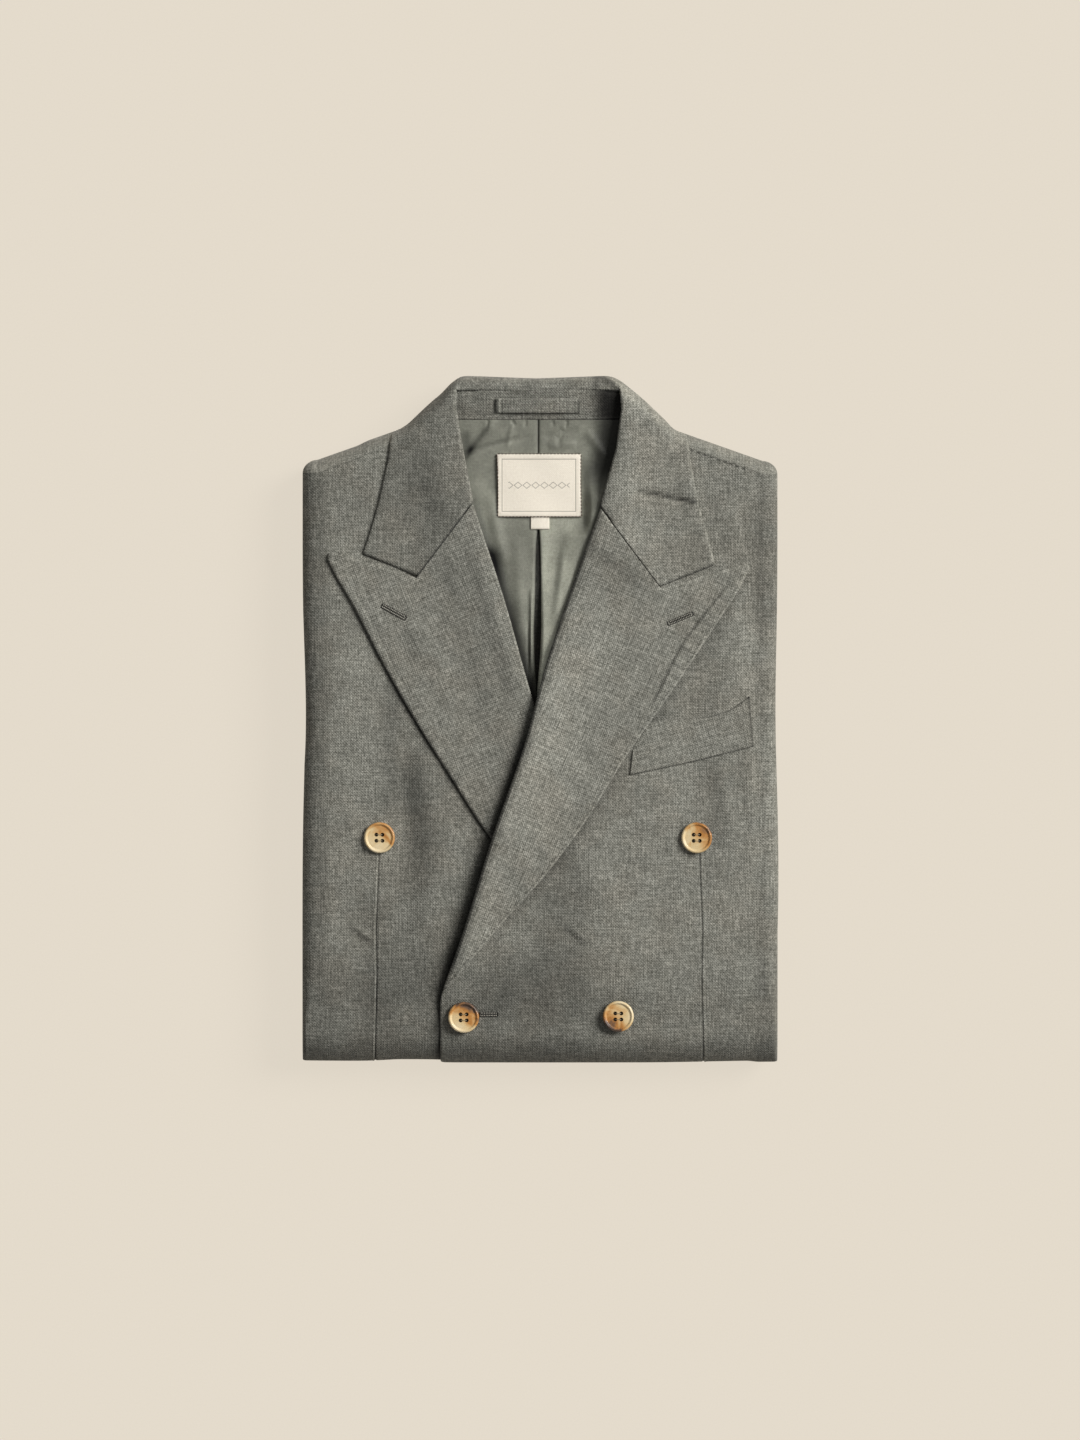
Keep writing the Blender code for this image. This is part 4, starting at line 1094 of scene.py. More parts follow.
def neck_cloth(name, node, s, left, right, columns, wall, lift, finish, relief, shade_by=None):
    """A sheet on the floor of the neck opening, between left(s) and right(s), raised by lift and
    by relief(x, s)."""
    s = np.asarray(s, float)[:, None]
    share = np.concatenate([[0.0, 0.012, 0.03], np.linspace(0.06, 0.94, columns), [0.97, 0.988, 1.0]])
    x = left(s) + (right(s) - left(s)) * share
    run = s + 0.0 * x
    depth = hollow(x, run) - lift
    tone = np.zeros(x.shape) if shade_by is None else shade_by(x, run)
    outer = place(x, run, depth - relief(x, run))
    inner = place(x, run, depth + wall)
    piece = two_faced(name, outer, inner, np.stack([x, run], -1), tone, finish)
    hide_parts(node)
    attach(piece, "root")
    return piece


def stand_relief(x, s):
    """Turned in along both seams, with a faint wave."""
    corner = smooth((np.abs(x) - 40.0) / 6.0) * smooth((s - 212.0) / 4.0)
    seams = -0.3 * band(s, 215.6, 0.5) - 0.15 * band(s, NECK_SEAM, 0.8)
    return seams + 0.2 * np.sin(x / 11.0) - 2.4 * corner


def stand_tone(x, s):
    """Painted shadow in the corner by the left roll, painted shade at its right end and a little all
    over, with an uneven dark seam along the linings.
    """
    uneven = 0.5 + 0.5 * np.sin(x / 1.9 + 1.7 * np.sin(x / 5.3))
    seam = 0.08 * band(s, 197.6, 0.6) - 0.30 * uneven * band(s, NECK_SEAM, 0.5)
    return seam - 0.12 - 0.82 * smooth((x - 30.0) / 13.0) - 0.15 * smooth((-46.0 - x) / 6.0)


def stand_right(s):
    """The stand's end at the right leaf of the collar."""
    return -57.0 + 2.0 * smooth((s - 213.0) / 4.0)


def stand_left(s):
    """The stand's end at the left leaf of the collar."""
    return 56.0 - 4.0 * smooth((s - 212.0) / 4.0)


stand = neck_cloth("neck_band", "collar_stand", np.linspace(STAND_TOP, NECK_SEAM, 34), stand_right,
                   stand_left, 90, CLOTH, 0.0, linen, stand_relief, stand_tone)

x = np.linspace(LOOP_LEFT, LOOP_RIGHT, 90)[None, :]
s = np.concatenate([[209.9, 209.7], np.linspace(209.3, 201.3, 12), [200.9, 200.7]])[:, None]
from_end = np.minimum(x - LOOP_LEFT, LOOP_RIGHT - x)
along = (x - LOOP_LEFT) / (LOOP_RIGHT - LOOP_LEFT)
slack = 1.3 * np.sin(math.pi * along) - 0.4 * band(from_end, 3.6, 0.7)
edge_drop = 0.4 * (band(s, s[0], 0.4) + band(s, s[-1], 0.4))
bed = hollow(x, s) - GAP
outer = place(x, s, bed - LOOP_WALL - slack + edge_drop)
inner = place(x, s, bed - slack)
# Tone: painted shade where it is sewn down at each end, a lighter line just inside that, and a lighter line
# near its lower edge.
tone = 0.12 * band(s, 201.2, 0.5) - 0.66 * band(from_end, 0.9, 0.6) + 0.40 * band(from_end, 2.4, 0.5)
loop_band = two_faced("loop_band", outer, inner, np.stack([x + 0 * s, s + 0 * x], -1), tone, linen)
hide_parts("hanger_loop")
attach(loop_band, "root")


# ---------------------------------------------------------------------------------------------
# Linings
# Two halves of smooth thin lining meet in a seam at the middle of the back. Below the tab the
# seam opens into a pleat, and soft folds run down from it.
# ---------------------------------------------------------------------------------------------

silky = cloth_material("lining", shade(108, 109, 99), shade(126, 127, 116), shade(141, 142, 131),
                       (0.93, 0.93, 0.93, 1.0), 0.0007, 0.3, 0.55, 0.0001, 0.05)

LINING = 1.0                # its wall
LINING_TOP = 196.0
LINING_END = -8.0
TUCKED = 9.0                # how far it runs in under a roll

# Half-width of the pleat's opening: place along the cloth, width
PLEAT = ((-8, 0.0), (13, 0.0), (40, 2.6), (57, 3.0), (78, 2.2), (104, 1.7), (120, 1.1), (128, 0.0),
         (200, 0.0))
SEAM_X = -1.2

# Folds of each half: end, end, height, half-width
FOLDS_RIGHT = (
    ((-28.4, 196.7), (-50.2, 173.6), 0.7, 2.6),
    ((-34.0, 192.0), (-54.0, 168.0), -0.9, 2.8),
    ((-5.6, 86.0), (-6.0, 30.0), 0.7, 1.3),
    ((-7.8, 64.0), (-7.4, 28.0), -0.3, 1.2),
    ((-15.0, 120.0), (-12.6, 46.0), 0.35, 4.0),
    ((-21.0, 104.0), (-17.0, 60.0), -0.25, 4.5),
    ((-34.0, 150.0), (-24.0, 100.0), 0.6, 4.0),
    ((-18.0, 192.0), (-22.0, 178.0), 0.4, 1.6),
    ((-34.0, 196.0), (-35.0, 191.0), -0.5, 0.8),
    ((-19.0, 196.0), (-16.0, 192.5), -0.6, 0.8),
    ((-9.0, 196.0), (-10.0, 191.5), -0.5, 0.7),
    ((-46.0, 140.0), (-34.0, 108.0), 0.5, 4.0),
    ((-48.0, 176.5), (-4.0, 185.5), -0.35, 2.0),
)
FOLDS_LEFT = (
    ((14.0, 122.0), (9.0, 70.0), -0.2, 4.0),
    ((20.0, 124.0), (15.0, 80.0), 0.25, 4.0),
    ((30.0, 190.0), (44.0, 170.0), 0.6, 3.0),
    ((14.0, 192.0), (12.0, 178.0), -0.4, 1.8),
    ((30.0, 120.0), (24.0, 90.0), -0.4, 3.0),
    ((8.0, 196.0), (9.0, 192.0), -0.5, 0.8),
    ((18.0, 196.0), (17.0, 191.0), -0.6, 0.8),
    ((33.0, 168.0), (32.0, 138.0), 0.4, 3.2),
    ((2.0, 184.0), (26.0, 190.0), -0.5, 2.4),
    ((5.0, 179.0), (24.0, 181.0), 0.6, 2.6),
    ((16.0, 112.0), (10.0, 66.0), 0.5, 2.6),
)


def pleat(s):
    """Half-width of the pleat's opening at s."""
    return read(PLEAT, s, ease=6.0)


def right_line(s):
    """Outer edge of the right half, tucked in under the right roll."""
    return line_x(ROLL_RIGHT, s) - TUCKED


def left_line(s):
    """Outer edge of the left half, tucked in under the left roll."""
    return line_x(ROLL_LEFT, s) + TUCKED


def right_inner(s):
    """Inner edge of the right half, at the seam or the pleat."""
    return SEAM_X - pleat(s)


def left_inner(s):
    """Inner edge of the left half, which opens a little less."""
    return SEAM_X + 0.8 * pleat(s)


def turned_in(x, s, inner):
    """Relief of both halves: rolled under at the seam and sewn down along the neck."""
    return -0.8 * band(x - inner, 0.0, 0.8) - 0.1 * band(s, LINING_TOP, 0.8)


def right_folds(x, s):
    """Relief of the right half."""
    return 2.0 * creases(x, s, FOLDS_RIGHT) + turned_in(x, s, right_inner(s))


def left_folds(x, s):
    """Relief of the left half, which rises towards the roll that stands over it."""
    near_roll = 6.5 * (1.0 - smooth((left_line(s) - TUCKED - x) / 24.0)) * smooth((160.0 - s) / 18.0)
    near_roll = near_roll * (1.0 - (1.0 - smooth((x - 28.5) / 6.0)) * smooth((s - 118.0) / 11.0))
    return near_roll + 2.0 * creases(x, s, FOLDS_LEFT) + turned_in(x, s, left_inner(s))


def right_tone(x, s):
    """Painted shade along the seam, painted shadow beside the roll, painted shade and light in the
    folds at the top and below, and lighter lower down.
    """
    tone = -(0.5 + 0.3 * smooth((s - 170.0) / 8.0)) * band(x - right_inner(s), 0.0, 0.6)
    beside = x - right_line(s) - TUCKED
    tone = tone - 0.45 * band(beside, 0.0, 3.2) * smooth((152.0 - s) / 20.0)
    tone = tone - 0.62 * band(beside, 3.0, 5.5) * smooth((118.0 - s) / 12.0)
    tone = tone + 0.18 * smooth((104.0 - s) / 20.0)
    tone = tone - 0.10 * smooth((146.0 - s) / 30.0)
    return tone + creases(x, s, (
        ((-50.0, 190.0), (-46.0, 172.0), -0.5, 4.0),
        ((-33.0, 193.0), (-53.0, 167.0), -0.52, 2.4),
        ((-47.0, 176.0), (-12.0, 186.0), -0.30, 1.5),
        ((-40.0, 160.0), (-32.0, 130.0), 0.18, 4.0),
        ((-30.0, 186.0), (-14.0, 193.0), 0.14, 3.0),
        ((-36.0, 150.0), (-32.0, 116.0), 0.12, 4.0),
        ((-16.0, 190.0), (-20.0, 178.0), 0.12, 5.0),
    ))


def left_tone(x, s):
    """Painted shade along the seam, painted shadow in the deep corner by the collar and in a line at
    the roll, and painted light lower down, just inside the roll and near the pleat.
    """
    corner = smooth((x - left_line(s) + 31.0) / 14.0) * smooth((s - 146.0) / 20.0)
    tone = -0.5 * band(x - left_inner(s), 0.3, 0.5) - 0.84 * corner
    tone = tone + 0.50 * smooth((152.0 - s) / 24.0) + 0.54 * smooth((116.0 - s) / 24.0)
    tone = tone + 0.70 * smooth((70.0 - s) / 24.0)
    inside = left_line(s) - TUCKED - x
    edge = 0.85 * band(inside, -0.4, 1.0) - 0.26 * band(inside, 2.3, 1.0) + 0.26 * band(inside, 6.0, 3.0)
    edge = edge - 0.22 * (1.0 - smooth((x - 3.0) / 11.0))
    return np.maximum(tone - edge * smooth((156.0 - s) / 16.0), -0.94)


down = np.linspace(LINING_TOP, LINING_END, 190)
lining = neck_cloth("right_lining_cloth", "lining_right", down, right_line, right_inner, 66, LINING,
                    0.0, silky, right_folds, right_tone)
lining = neck_cloth("left_lining_cloth", "lining_left", down, lambda s: left_inner(s) + GAP, left_line,
                    66, LINING, 0.0, silky, left_folds, left_tone)


# ---------------------------------------------------------------------------------------------
# Label and tab
# A cream woven label with folded edges is sewn to the linings all round, and a small plain tab of
# the same tape hangs below it. A woven border and a row of lozenges are its only pattern.
# ---------------------------------------------------------------------------------------------

LABEL_TOP = 173.6
LABEL_END = 132.4
LABEL_LEFT = -28.4          # its side edges at the top, left and right as one reads it
LABEL_RIGHT = 27.0
TAB_HALF = 5.9
TAB_TOP = 132.0
TAB_END = 124.1

# The label's woven pattern, in metres
BORDER_IN = 0.0034          # its border line's distance from the edge
BORDER_HALF = 0.00022       # and half that line's width
ROW_IN = 0.0075             # where the row of lozenges stops short of the sides
LOZENGE = 0.0058            # width of one


def label_material():
    """Cream tape with the weave's tone. A thin grey border line runs inside the edges, and a row of
    outlined lozenges, where |u| + |v| of each cell is near one value, runs across the middle."""
    finish, t, shader = new_finish("label_tape")
    woven = t.new("Group", {"node_tree": weave}, Pitch=0.0006, Slub=0.3).outputs
    place_on = t.new("SeparateXYZ", {}, Vector=t.new("UVMap", {"uv_map": "cloth"}).outputs[0]).outputs
    middle_x = (LABEL_LEFT + LABEL_RIGHT) / 2000.0
    middle_y = (LABEL_TOP + LABEL_END) / 2000.0
    from_middle_x = t.math("ABSOLUTE", t.math("ADD", place_on[0], -middle_x))
    from_middle_y = t.math("ABSOLUTE", t.math("SUBTRACT", place_on[1], middle_y))
    edge_x = t.math("SUBTRACT", (LABEL_RIGHT - LABEL_LEFT) / 2000.0, from_middle_x)
    edge_y = t.math("SUBTRACT", (LABEL_TOP - LABEL_END) / 2000.0, from_middle_y)
    edge = t.math("MINIMUM", edge_x, edge_y)
    border = t.math("COMPARE", edge, BORDER_IN)
    border.node.inputs[2].default_value = BORDER_HALF
    inside = t.math("GREATER_THAN", edge_x, ROW_IN)
    cell = t.math("FRACT", t.math("DIVIDE", place_on[0], LOZENGE))
    cell = t.math("ABSOLUTE", t.math("SUBTRACT", cell, 0.5))
    tall = t.math("MULTIPLY", from_middle_y, 210.0)
    lozenge = t.math("ADD", cell, tall)
    outline = t.math("COMPARE", lozenge, 0.44)
    outline.node.inputs[2].default_value = 0.05
    row = t.math("MULTIPLY", outline, inside)
    mark = t.math("MAXIMUM", border, row, True)
    cream = t.mix(t.span(woven["Tone"], -0.9, 0.9), shade(226, 217, 201), shade(243, 236, 222))
    colour = t.mix(t.math("MULTIPLY", mark, 0.72), cream, shade(104, 100, 90))
    links = finish.node_tree.links
    links.new(t.darken(colour, t.math("ADD", t.tone(), 1.0)), shader.inputs["Base Color"])
    links.new(t.span(woven["Tone"], -0.9, 0.9, 0.82, 0.7), shader.inputs["Roughness"])
    height_in = t.math("ADD", woven["Height"], t.math("MULTIPLY", mark, 0.8))
    bump = t.new("Bump", {}, Height=height_in, Strength=0.5, Distance=0.00015).outputs[0]
    links.new(bump, shader.inputs["Normal"])
    return finish


tape = label_material()


def label_side(s, top, lean, bow):
    """A side edge: from top at its upper corner it leans and bows, in half a sine wave."""
    share = (LABEL_TOP - s) / (LABEL_TOP - LABEL_END)
    return top + lean * share + bow * np.sin(share * math.pi)


def label_left(s):
    """The label's left edge."""
    return label_side(s, LABEL_LEFT, 0.6, 0.5)


def label_right(s):
    """The label's right edge."""
    return label_side(s, LABEL_RIGHT, 0.5, -0.4)


def label_relief(x, s):
    """Folded rims 0.22 mm thicker, a slight crown, and corners pulled down by their stitches."""
    side = np.minimum(x - LABEL_LEFT, LABEL_RIGHT - x)
    end = np.minimum(LABEL_TOP - s, s - LABEL_END)
    edge = np.minimum(side, end)
    corner = np.hypot(side, end)
    rims = 0.22 * (1 - smooth((edge - 2.6) / 0.6)) - 0.35 * band(edge, 0.0, 0.35)
    crown = 0.5 * np.sin((x - LABEL_LEFT) / (LABEL_RIGHT - LABEL_LEFT) * math.pi)
    crown = crown + 0.15 * np.sin(x / 6.0 + s / 9.0)
    return rims + crown - 0.3 * band(corner, 1.5, 1.6)


def label_tone(x, _):
    """Painted shade: a faint darker line inside each side, where the fold of the tape ends."""
    return -0.05 * band(np.minimum(x - LABEL_LEFT, LABEL_RIGHT - x), 2.9, 0.4)


def tab_relief(x, s):
    """A slight crown, and its folded end drawn down."""
    return 0.3 * np.sin((x / TAB_HALF + 1.0) / 2.0 * math.pi) - 0.3 * band(s, TAB_END, 0.5)


down = np.concatenate([[LABEL_TOP, 173.4], np.linspace(173.0, 133.0, 60), [132.6, LABEL_END]])
label = neck_cloth("label_tape", "label", down, label_left, label_right, 70, LINING, LINING + GAP,
                   tape, label_relief, label_tone)

tab = neck_cloth("tab_tape", "size_tab", np.linspace(TAB_TOP, TAB_END, 14), lambda s: 0 * s - TAB_HALF,
                 lambda s: 0 * s + TAB_HALF, 16, LINING, LINING, tape, tab_relief)


# ---------------------------------------------------------------------------------------------
# Breast welt
# The welt of the breast pocket slants up to the wearer's left. It is a doubled band, stitched
# down at its end, and it runs in under the lapel.
# ---------------------------------------------------------------------------------------------

WELT_LOWER = ((59.5, -37.9), (101.0, -29.0), (140.6, -19.1))
WELT_UPPER = ((61.5, -20.5), (72.0, -4.5), (84.0, -1.5), (98.0, -0.8), (111.5, 0.7), (124.1, 4.6),
              (137.9, 13.9))
WELT = 1.2                  # its wall, two cloths pressed flat
WELT_GRAIN = np.array([[0.97, -0.24], [0.24, 0.97]])

lower = spread(WELT_LOWER, 110)
upper = spread(WELT_UPPER, 110)
share = np.concatenate([[0.0, 0.015, 0.04], np.linspace(0.08, 0.92, 34), [0.96, 0.985, 1.0]])
plan = strip(lower, upper, share)
to_lower, _ = line_field(plan, lower)
to_upper, _ = line_field(plan, upper)
to_end, _ = line_field(plan, np.stack([lower[-1], upper[-1]]))
x, s = plan[..., 0], plan[..., 1]
fade = smooth((x - 78.0) / 26.0)
relief = -0.75 * band(to_lower, 0.0, 0.6) - 0.75 * band(to_end, 0.0, 0.6) - 0.8 * band(to_upper, 0.0, 0.7)
relief = relief - 0.30 * band(to_end, 2.6, 0.5) - (0.7 - 0.7 * fade) * smooth((6.0 - to_upper) / 6.0)
# Painted shade along its lower, upper and end edges, and a lighter line just inside its end.
tone = 0.20 * band(to_end, 2.2, 0.5) - 0.75 * band(to_end, 0.5, 0.7) - 0.40 * band(to_lower, 0.0, 0.5)
tone = tone - 0.42 * band(to_upper, 0.3, 0.5) * fade
bed = on_left_front(x, s) - creases(x, s, LEFT_CREASES)
outer = place(x, s, bed - WELT - relief)
inner = place(x, s, bed)
welt = two_faced("welt_cloth", outer, inner, plan @ WELT_GRAIN, tone, linen)
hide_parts("breast_welt")
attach(welt, "root")


# ---------------------------------------------------------------------------------------------
# Worked buttonholes
# One in each lapel, and one in the left front beside its lowest button. Silk twist is wound round
# both lips of the slit, over a cord that gives them their edge.
# ---------------------------------------------------------------------------------------------

def thread_material(name, dark, light):
    """Thread: a noise as fine as its plies runs its colour from dark to light."""
    finish, t, shader = new_finish(name)
    ply = t.noise(t.new("TexCoord").outputs["Object"], 2600.0, 2.0)
    links = finish.node_tree.links
    links.new(t.mix(t.span(ply, 0.35, 0.65), dark, light), shader.inputs["Base Color"])
    links.new(t.span(ply, 0.35, 0.65, 0.7, 0.5), shader.inputs["Roughness"])
    bump = t.new("Bump", {}, Height=ply, Strength=0.4, Distance=0.0001).outputs[0]
    links.new(bump, shader.inputs["Normal"])
    return finish


twist = thread_material("silk_twist", shade(134, 132, 122), shade(182, 179, 167))
slit_shadow_material = thread_material("slit_shadow", shade(26, 25, 22), shade(40, 38, 34))


def closed_tube(path, radius, sides=8, flatten=1.0):
    """Points and quads of a tube: the path plus radius times the cosine and sine of the turn, in
    the plane across it. Its first and last rings are a quarter as wide, with caps of quads."""
    ahead = np.gradient(path, axis=0)
    ahead /= np.linalg.norm(ahead, axis=1, keepdims=True)
    beside = np.cross(ahead, (0.0, 0.0, 1.0))
    beside /= np.maximum(np.linalg.norm(beside, axis=1, keepdims=True), 1e-6)
    over = np.cross(beside, ahead)
    turn = np.linspace(0.0, 2 * math.pi, sides, endpoint=False)
    wide = np.full(len(path), float(radius))
    wide[[0, -1]] *= 0.25
    wide = wide[:, None, None]
    rings = (path[:, None] + wide * np.cos(turn)[None, :, None] * beside[:, None]
             + flatten * wide * np.sin(turn)[None, :, None] * over[:, None])
    index = np.arange(len(path) * sides).reshape(len(path), sides)
    following = np.roll(index, -1, axis=1)
    quads = np.stack([index[:-1], following[:-1], following[1:], index[1:]], -1).reshape(-1, 4)
    pair = np.arange(sides // 2 - 1)
    cap = np.stack([pair, pair + 1, sides - 2 - pair, sides - 1 - pair], -1)
    return rings.reshape(-1, 3), np.concatenate([quads, cap[:, ::-1], cap + index[-1, 0]])


def joined(parts):
    """Points and quads of many closed shapes in one mesh."""
    offset = 0
    points = []
    quads = []
    for part_points, part_quads in parts:
        points.append(part_points)
        quads.append(part_quads + offset)
        offset += len(part_points)
    return np.concatenate(points), np.concatenate(quads)


def small_piece(name, parts, finish):
    """Many small closed shapes as one piece."""
    points, quads = joined(parts)
    piece = put_mesh(name, points, quads, points[:, :2] * 0.001, np.zeros(len(points)), finish)
    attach(piece, "root")
    return piece


def lapel_right_top(x, s):
    """Points on the face of the right lapel."""
    return place(x, s, -GAP - LAPEL - creases(x, s, LAPEL_CREASES))


def lapel_left_top(x, s):
    """Points on the face of the left lapel."""
    return place(x, s, on_left_front(x, s) - LAPEL - creases(x, s, LAPEL_CREASES))


def left_front_top(x, s):
    """Points on the face of the left front."""
    return place(x, s, skin_left(x, s) - creases(x, s, LEFT_CREASES))


PURL_PITCH = 1.1
PURL_RADIUS = 0.34
CORD_RADIUS = 0.30


def buttonhole(name, start, end, top, lip, slit):
    """Purl stitches: short pale ridges across each lip, between a slit of painted shadow and a cord,
    also in the painted shadow colour, that runs round them as a rounded oblong."""
    start, end = np.array(start), np.array(end)
    length = np.linalg.norm(end - start)
    ahead = (end - start) / length
    beside = np.array([-ahead[1], ahead[0]])
    parts = []
    for side in (-1, 1):
        for k in range(int(length / PURL_PITCH) + 1):
            middle = start + ahead * (PURL_PITCH * k)
            across = np.linspace(0.4, lip, 5)[:, None] * beside * side + middle
            rise = np.zeros((5, 3))
            rise[:, 2] = 0.1 + 0.25 * np.sin(np.linspace(0.3, 3.0, 5))
            parts.append(closed_tube(top(across[:, 0], across[:, 1]) + rise, PURL_RADIUS, 6))
    small_piece(name + "_twist", parts, twist)
    turn = np.linspace(0.0, 2 * math.pi, 81)
    out = np.clip(1.35 * np.cos(turn), -1.0, 1.0) * (length / 2 + 0.9)
    wide = np.clip(1.35 * np.sin(turn), -1.0, 1.0) * (lip + 0.15)
    cord = (start + end) / 2 + out[:, None] * ahead + wide[:, None] * beside
    along = np.linspace(0.0, 1.0, 24)[:, None] * (end - start) + start
    small_piece(name + "_slit", [
        closed_tube(top(cord[:, 0], cord[:, 1]) + (0.0, 0.0, 0.2), CORD_RADIUS, 8),
        closed_tube(top(along[:, 0], along[:, 1]) + (0.0, 0.0, 0.15), slit, 8, 0.5),
    ], slit_shadow_material)


buttonhole("right_lapel_hole", (-103.2, 73.2), (-88.9, 65.4), lapel_right_top, 1.25, 0.34)
buttonhole("left_lapel_hole", (84.9, 61.9), (99.9, 68.1), lapel_left_top, 1.1, 0.38)
buttonhole("front_hole", (-38.8, -195.4), (-28.6, -195.4), left_front_top, 1.2, 0.6)


# ---------------------------------------------------------------------------------------------
# Stitches
# Fine machine stitches in tan thread run round the label's edge. Others in the cloth's own colour
# hold down the welt and the rim of the left lapel.
# ---------------------------------------------------------------------------------------------

def stitch_row(name, line, top, pitch, length, radius, lift, finish=twist):
    """Short threads along a line, one to a pitch: each a tube whose middle stands up."""
    dense = spread(line, 400)
    run = run_along(dense)
    parts = []
    for middle in np.arange(pitch / 2, run[-1], pitch):
        at = middle + np.linspace(-length / 2, length / 2, 5)
        x = np.interp(at, run, dense[:, 0])
        s = np.interp(at, run, dense[:, 1])
        rise = lift + radius * 0.8 * np.array([-0.6, 0.4, 0.7, 0.4, -0.6])
        parts.append(closed_tube(top(x, s) + np.stack([0 * x, 0 * x, rise], -1), radius, 6))
    return small_piece(name, parts, finish)


def label_top(x, s):
    """Points on the face of the label."""
    return place(x, s, hollow(x, s) - LINING - GAP - label_relief(x, s))


def welt_top(x, s):
    """Points on the face of the welt."""
    return place(x, s, on_left_front(x, s) - WELT - creases(x, s, LEFT_CREASES))


tan_thread = thread_material("tan_thread", shade(46, 36, 28), shade(84, 66, 50))
down = np.linspace(173.4, 132.6, 12)
for side, line in (
    ("top", ((-28.2, 173.7), (0.0, 173.7), (26.8, 173.7))),
    ("right", np.stack([label_right(down) + 0.1, down], -1)),
    ("bottom", ((27.3, 132.2), (0.0, 132.2), (-27.6, 132.2))),
    ("left", np.stack([label_left(down) - 0.1, down], -1)),
):
    stitch_row("label_" + side + "_stitches", line, label_top, 2.3, 1.9, 0.3, 0.15, tan_thread)
stitch_row("welt_end_stitches", ((135.3, 10.4), (137.9, -18.4)), welt_top, 2.3, 1.5, 0.20, -0.1)
stitch_row("welt_lower_stitches", ((62.0, -36.2), (101.0, -27.8), (137.0, -18.6)), welt_top,
           2.6, 1.5, 0.16, -0.15)
stitch_row("left_rim_stitches", ((128.5, 92.5), (103.6, 50.4), (74.0, 5.6), (52.9, -24.1), (25.6, -69.3),
                                 (-2.0, -105.4)), lapel_left_top, 3.4, 1.7, 0.17, 0.05)


# ---------------------------------------------------------------------------------------------
# Buttons
# Polished horn discs with a raised rim and four holes, sewn on with olive thread. Cream runs into
# amber across each face, another way on each button.
# ---------------------------------------------------------------------------------------------

# Half section: distance from the middle, height
BUTTON_FACE = ((0.0, 2.6), (5.4, 2.6), (7.1, 2.55), (7.8, 2.5), (8.3, 2.9), (8.7, 3.35), (9.15, 3.45),
               (9.65, 3.2), (10.1, 2.6), (10.15, 2.0), (9.7, 1.1), (8.6, 0.45), (7.2, 0.15), (0.0, 0.0))
BUTTON_SIDES = 96
HOLE_AT = 2.0               # from the middle, both ways
HOLE_RADIUS = 1.28
THREAD_RADIUS = 0.2
THREAD_REACH = 1.9          # from the middle to where a strand enters its hole
THREAD_RISE = 1.95          # its height there
THREAD_BOW = 0.95           # and how much higher it is in the middle
BOW_REACH = 2.1             # half-length of the ellipse that it bows in
AMBER_REACH = 0.0098        # in metres
SHANK_RADIUS = 1.15
SHANK_TOP = 1.5


def horn_material():
    """Cream and amber mixed by each point's own lean plus a swirled noise, with brown veins where
    the sum is high; polished, with a faint coat."""
    finish, t, shader = new_finish("horn")
    spot = t.new("TexCoord").outputs["Object"]
    swirl = t.noise(spot, 85.0, 2.0, Distortion=1.4)
    fine = t.noise(spot, 420.0, 4.0, Distortion=0.8)
    share = t.math("ADD", t.tone(), t.span(swirl, 0.3, 0.7, -0.42, 0.42))
    share = t.math("ADD", share, t.span(fine, 0.3, 0.7, -0.08, 0.08))
    ramp = t.new("ValToRGB", {}, Fac=t.span(share, -0.9, 1.1)).outputs[0]
    stops = ramp.node.color_ramp.elements
    stops[0].color = shade(224, 208, 174)
    stops[1].color = shade(74, 56, 44)
    stops.new(0.42).color = shade(212, 188, 142)
    stops.new(0.60).color = shade(198, 156, 100)
    stops.new(0.76).color = shade(176, 120, 56)
    stops.new(0.90).color = shade(112, 82, 58)
    links = finish.node_tree.links
    links.new(ramp, shader.inputs["Base Color"])
    links.new(t.span(fine, 0.3, 0.7, 0.42, 0.55), shader.inputs["Roughness"])
    shader.inputs["Specular IOR Level"].default_value = 0.45
    shader.inputs["Coat Weight"].default_value = 0.3
    shader.inputs["Coat Roughness"].default_value = 0.16
    return finish


horn = horn_material()
sewing = thread_material("button_thread", shade(132, 118, 90), shade(176, 160, 128))
shank_shadow_material = thread_material("shank_shadow", shade(30, 26, 21), shade(44, 38, 31))


def turned_button(name):
    """The half section turned about its axis, closed at both poles."""
    section = spread(BUTTON_FACE, 56)
    section[0, 0] = section[-1, 0] = 0.0
    section[:, 0] = np.maximum(section[:, 0], 0.0)
    turn = np.linspace(0.0, 2 * math.pi, BUTTON_SIDES, endpoint=False)
    body = section[1:-1]
    rings = np.stack([body[:, :1] * np.cos(turn), body[:, :1] * np.sin(turn), body[:, 1:] + 0 * turn], -1)
    count = len(body) * BUTTON_SIDES
    poles = np.array([[0.0, 0.0, section[0, 1]], [0.0, 0.0, section[-1, 1]]])
    points = np.concatenate([rings.reshape(-1, 3), poles])
    index = np.arange(count).reshape(len(body), BUTTON_SIDES)
    beside = np.roll(index, -1, axis=1)
    quads = np.stack([index[:-1], index[1:], beside[1:], beside[:-1]], -1).reshape(-1, 4).tolist()
    caps = np.stack([np.full(BUTTON_SIDES, count), index[0], beside[0]], -1).tolist()
    caps += np.stack([beside[-1], index[-1], np.full(BUTTON_SIDES, count + 1)], -1).tolist()
    mesh = bpy.data.meshes.new(name)
    mesh.from_pydata((points * 0.001).tolist(), [], quads + caps)
    piece = bpy.data.objects.new(name, mesh)
    bpy.context.scene.collection.objects.link(piece)
    return piece


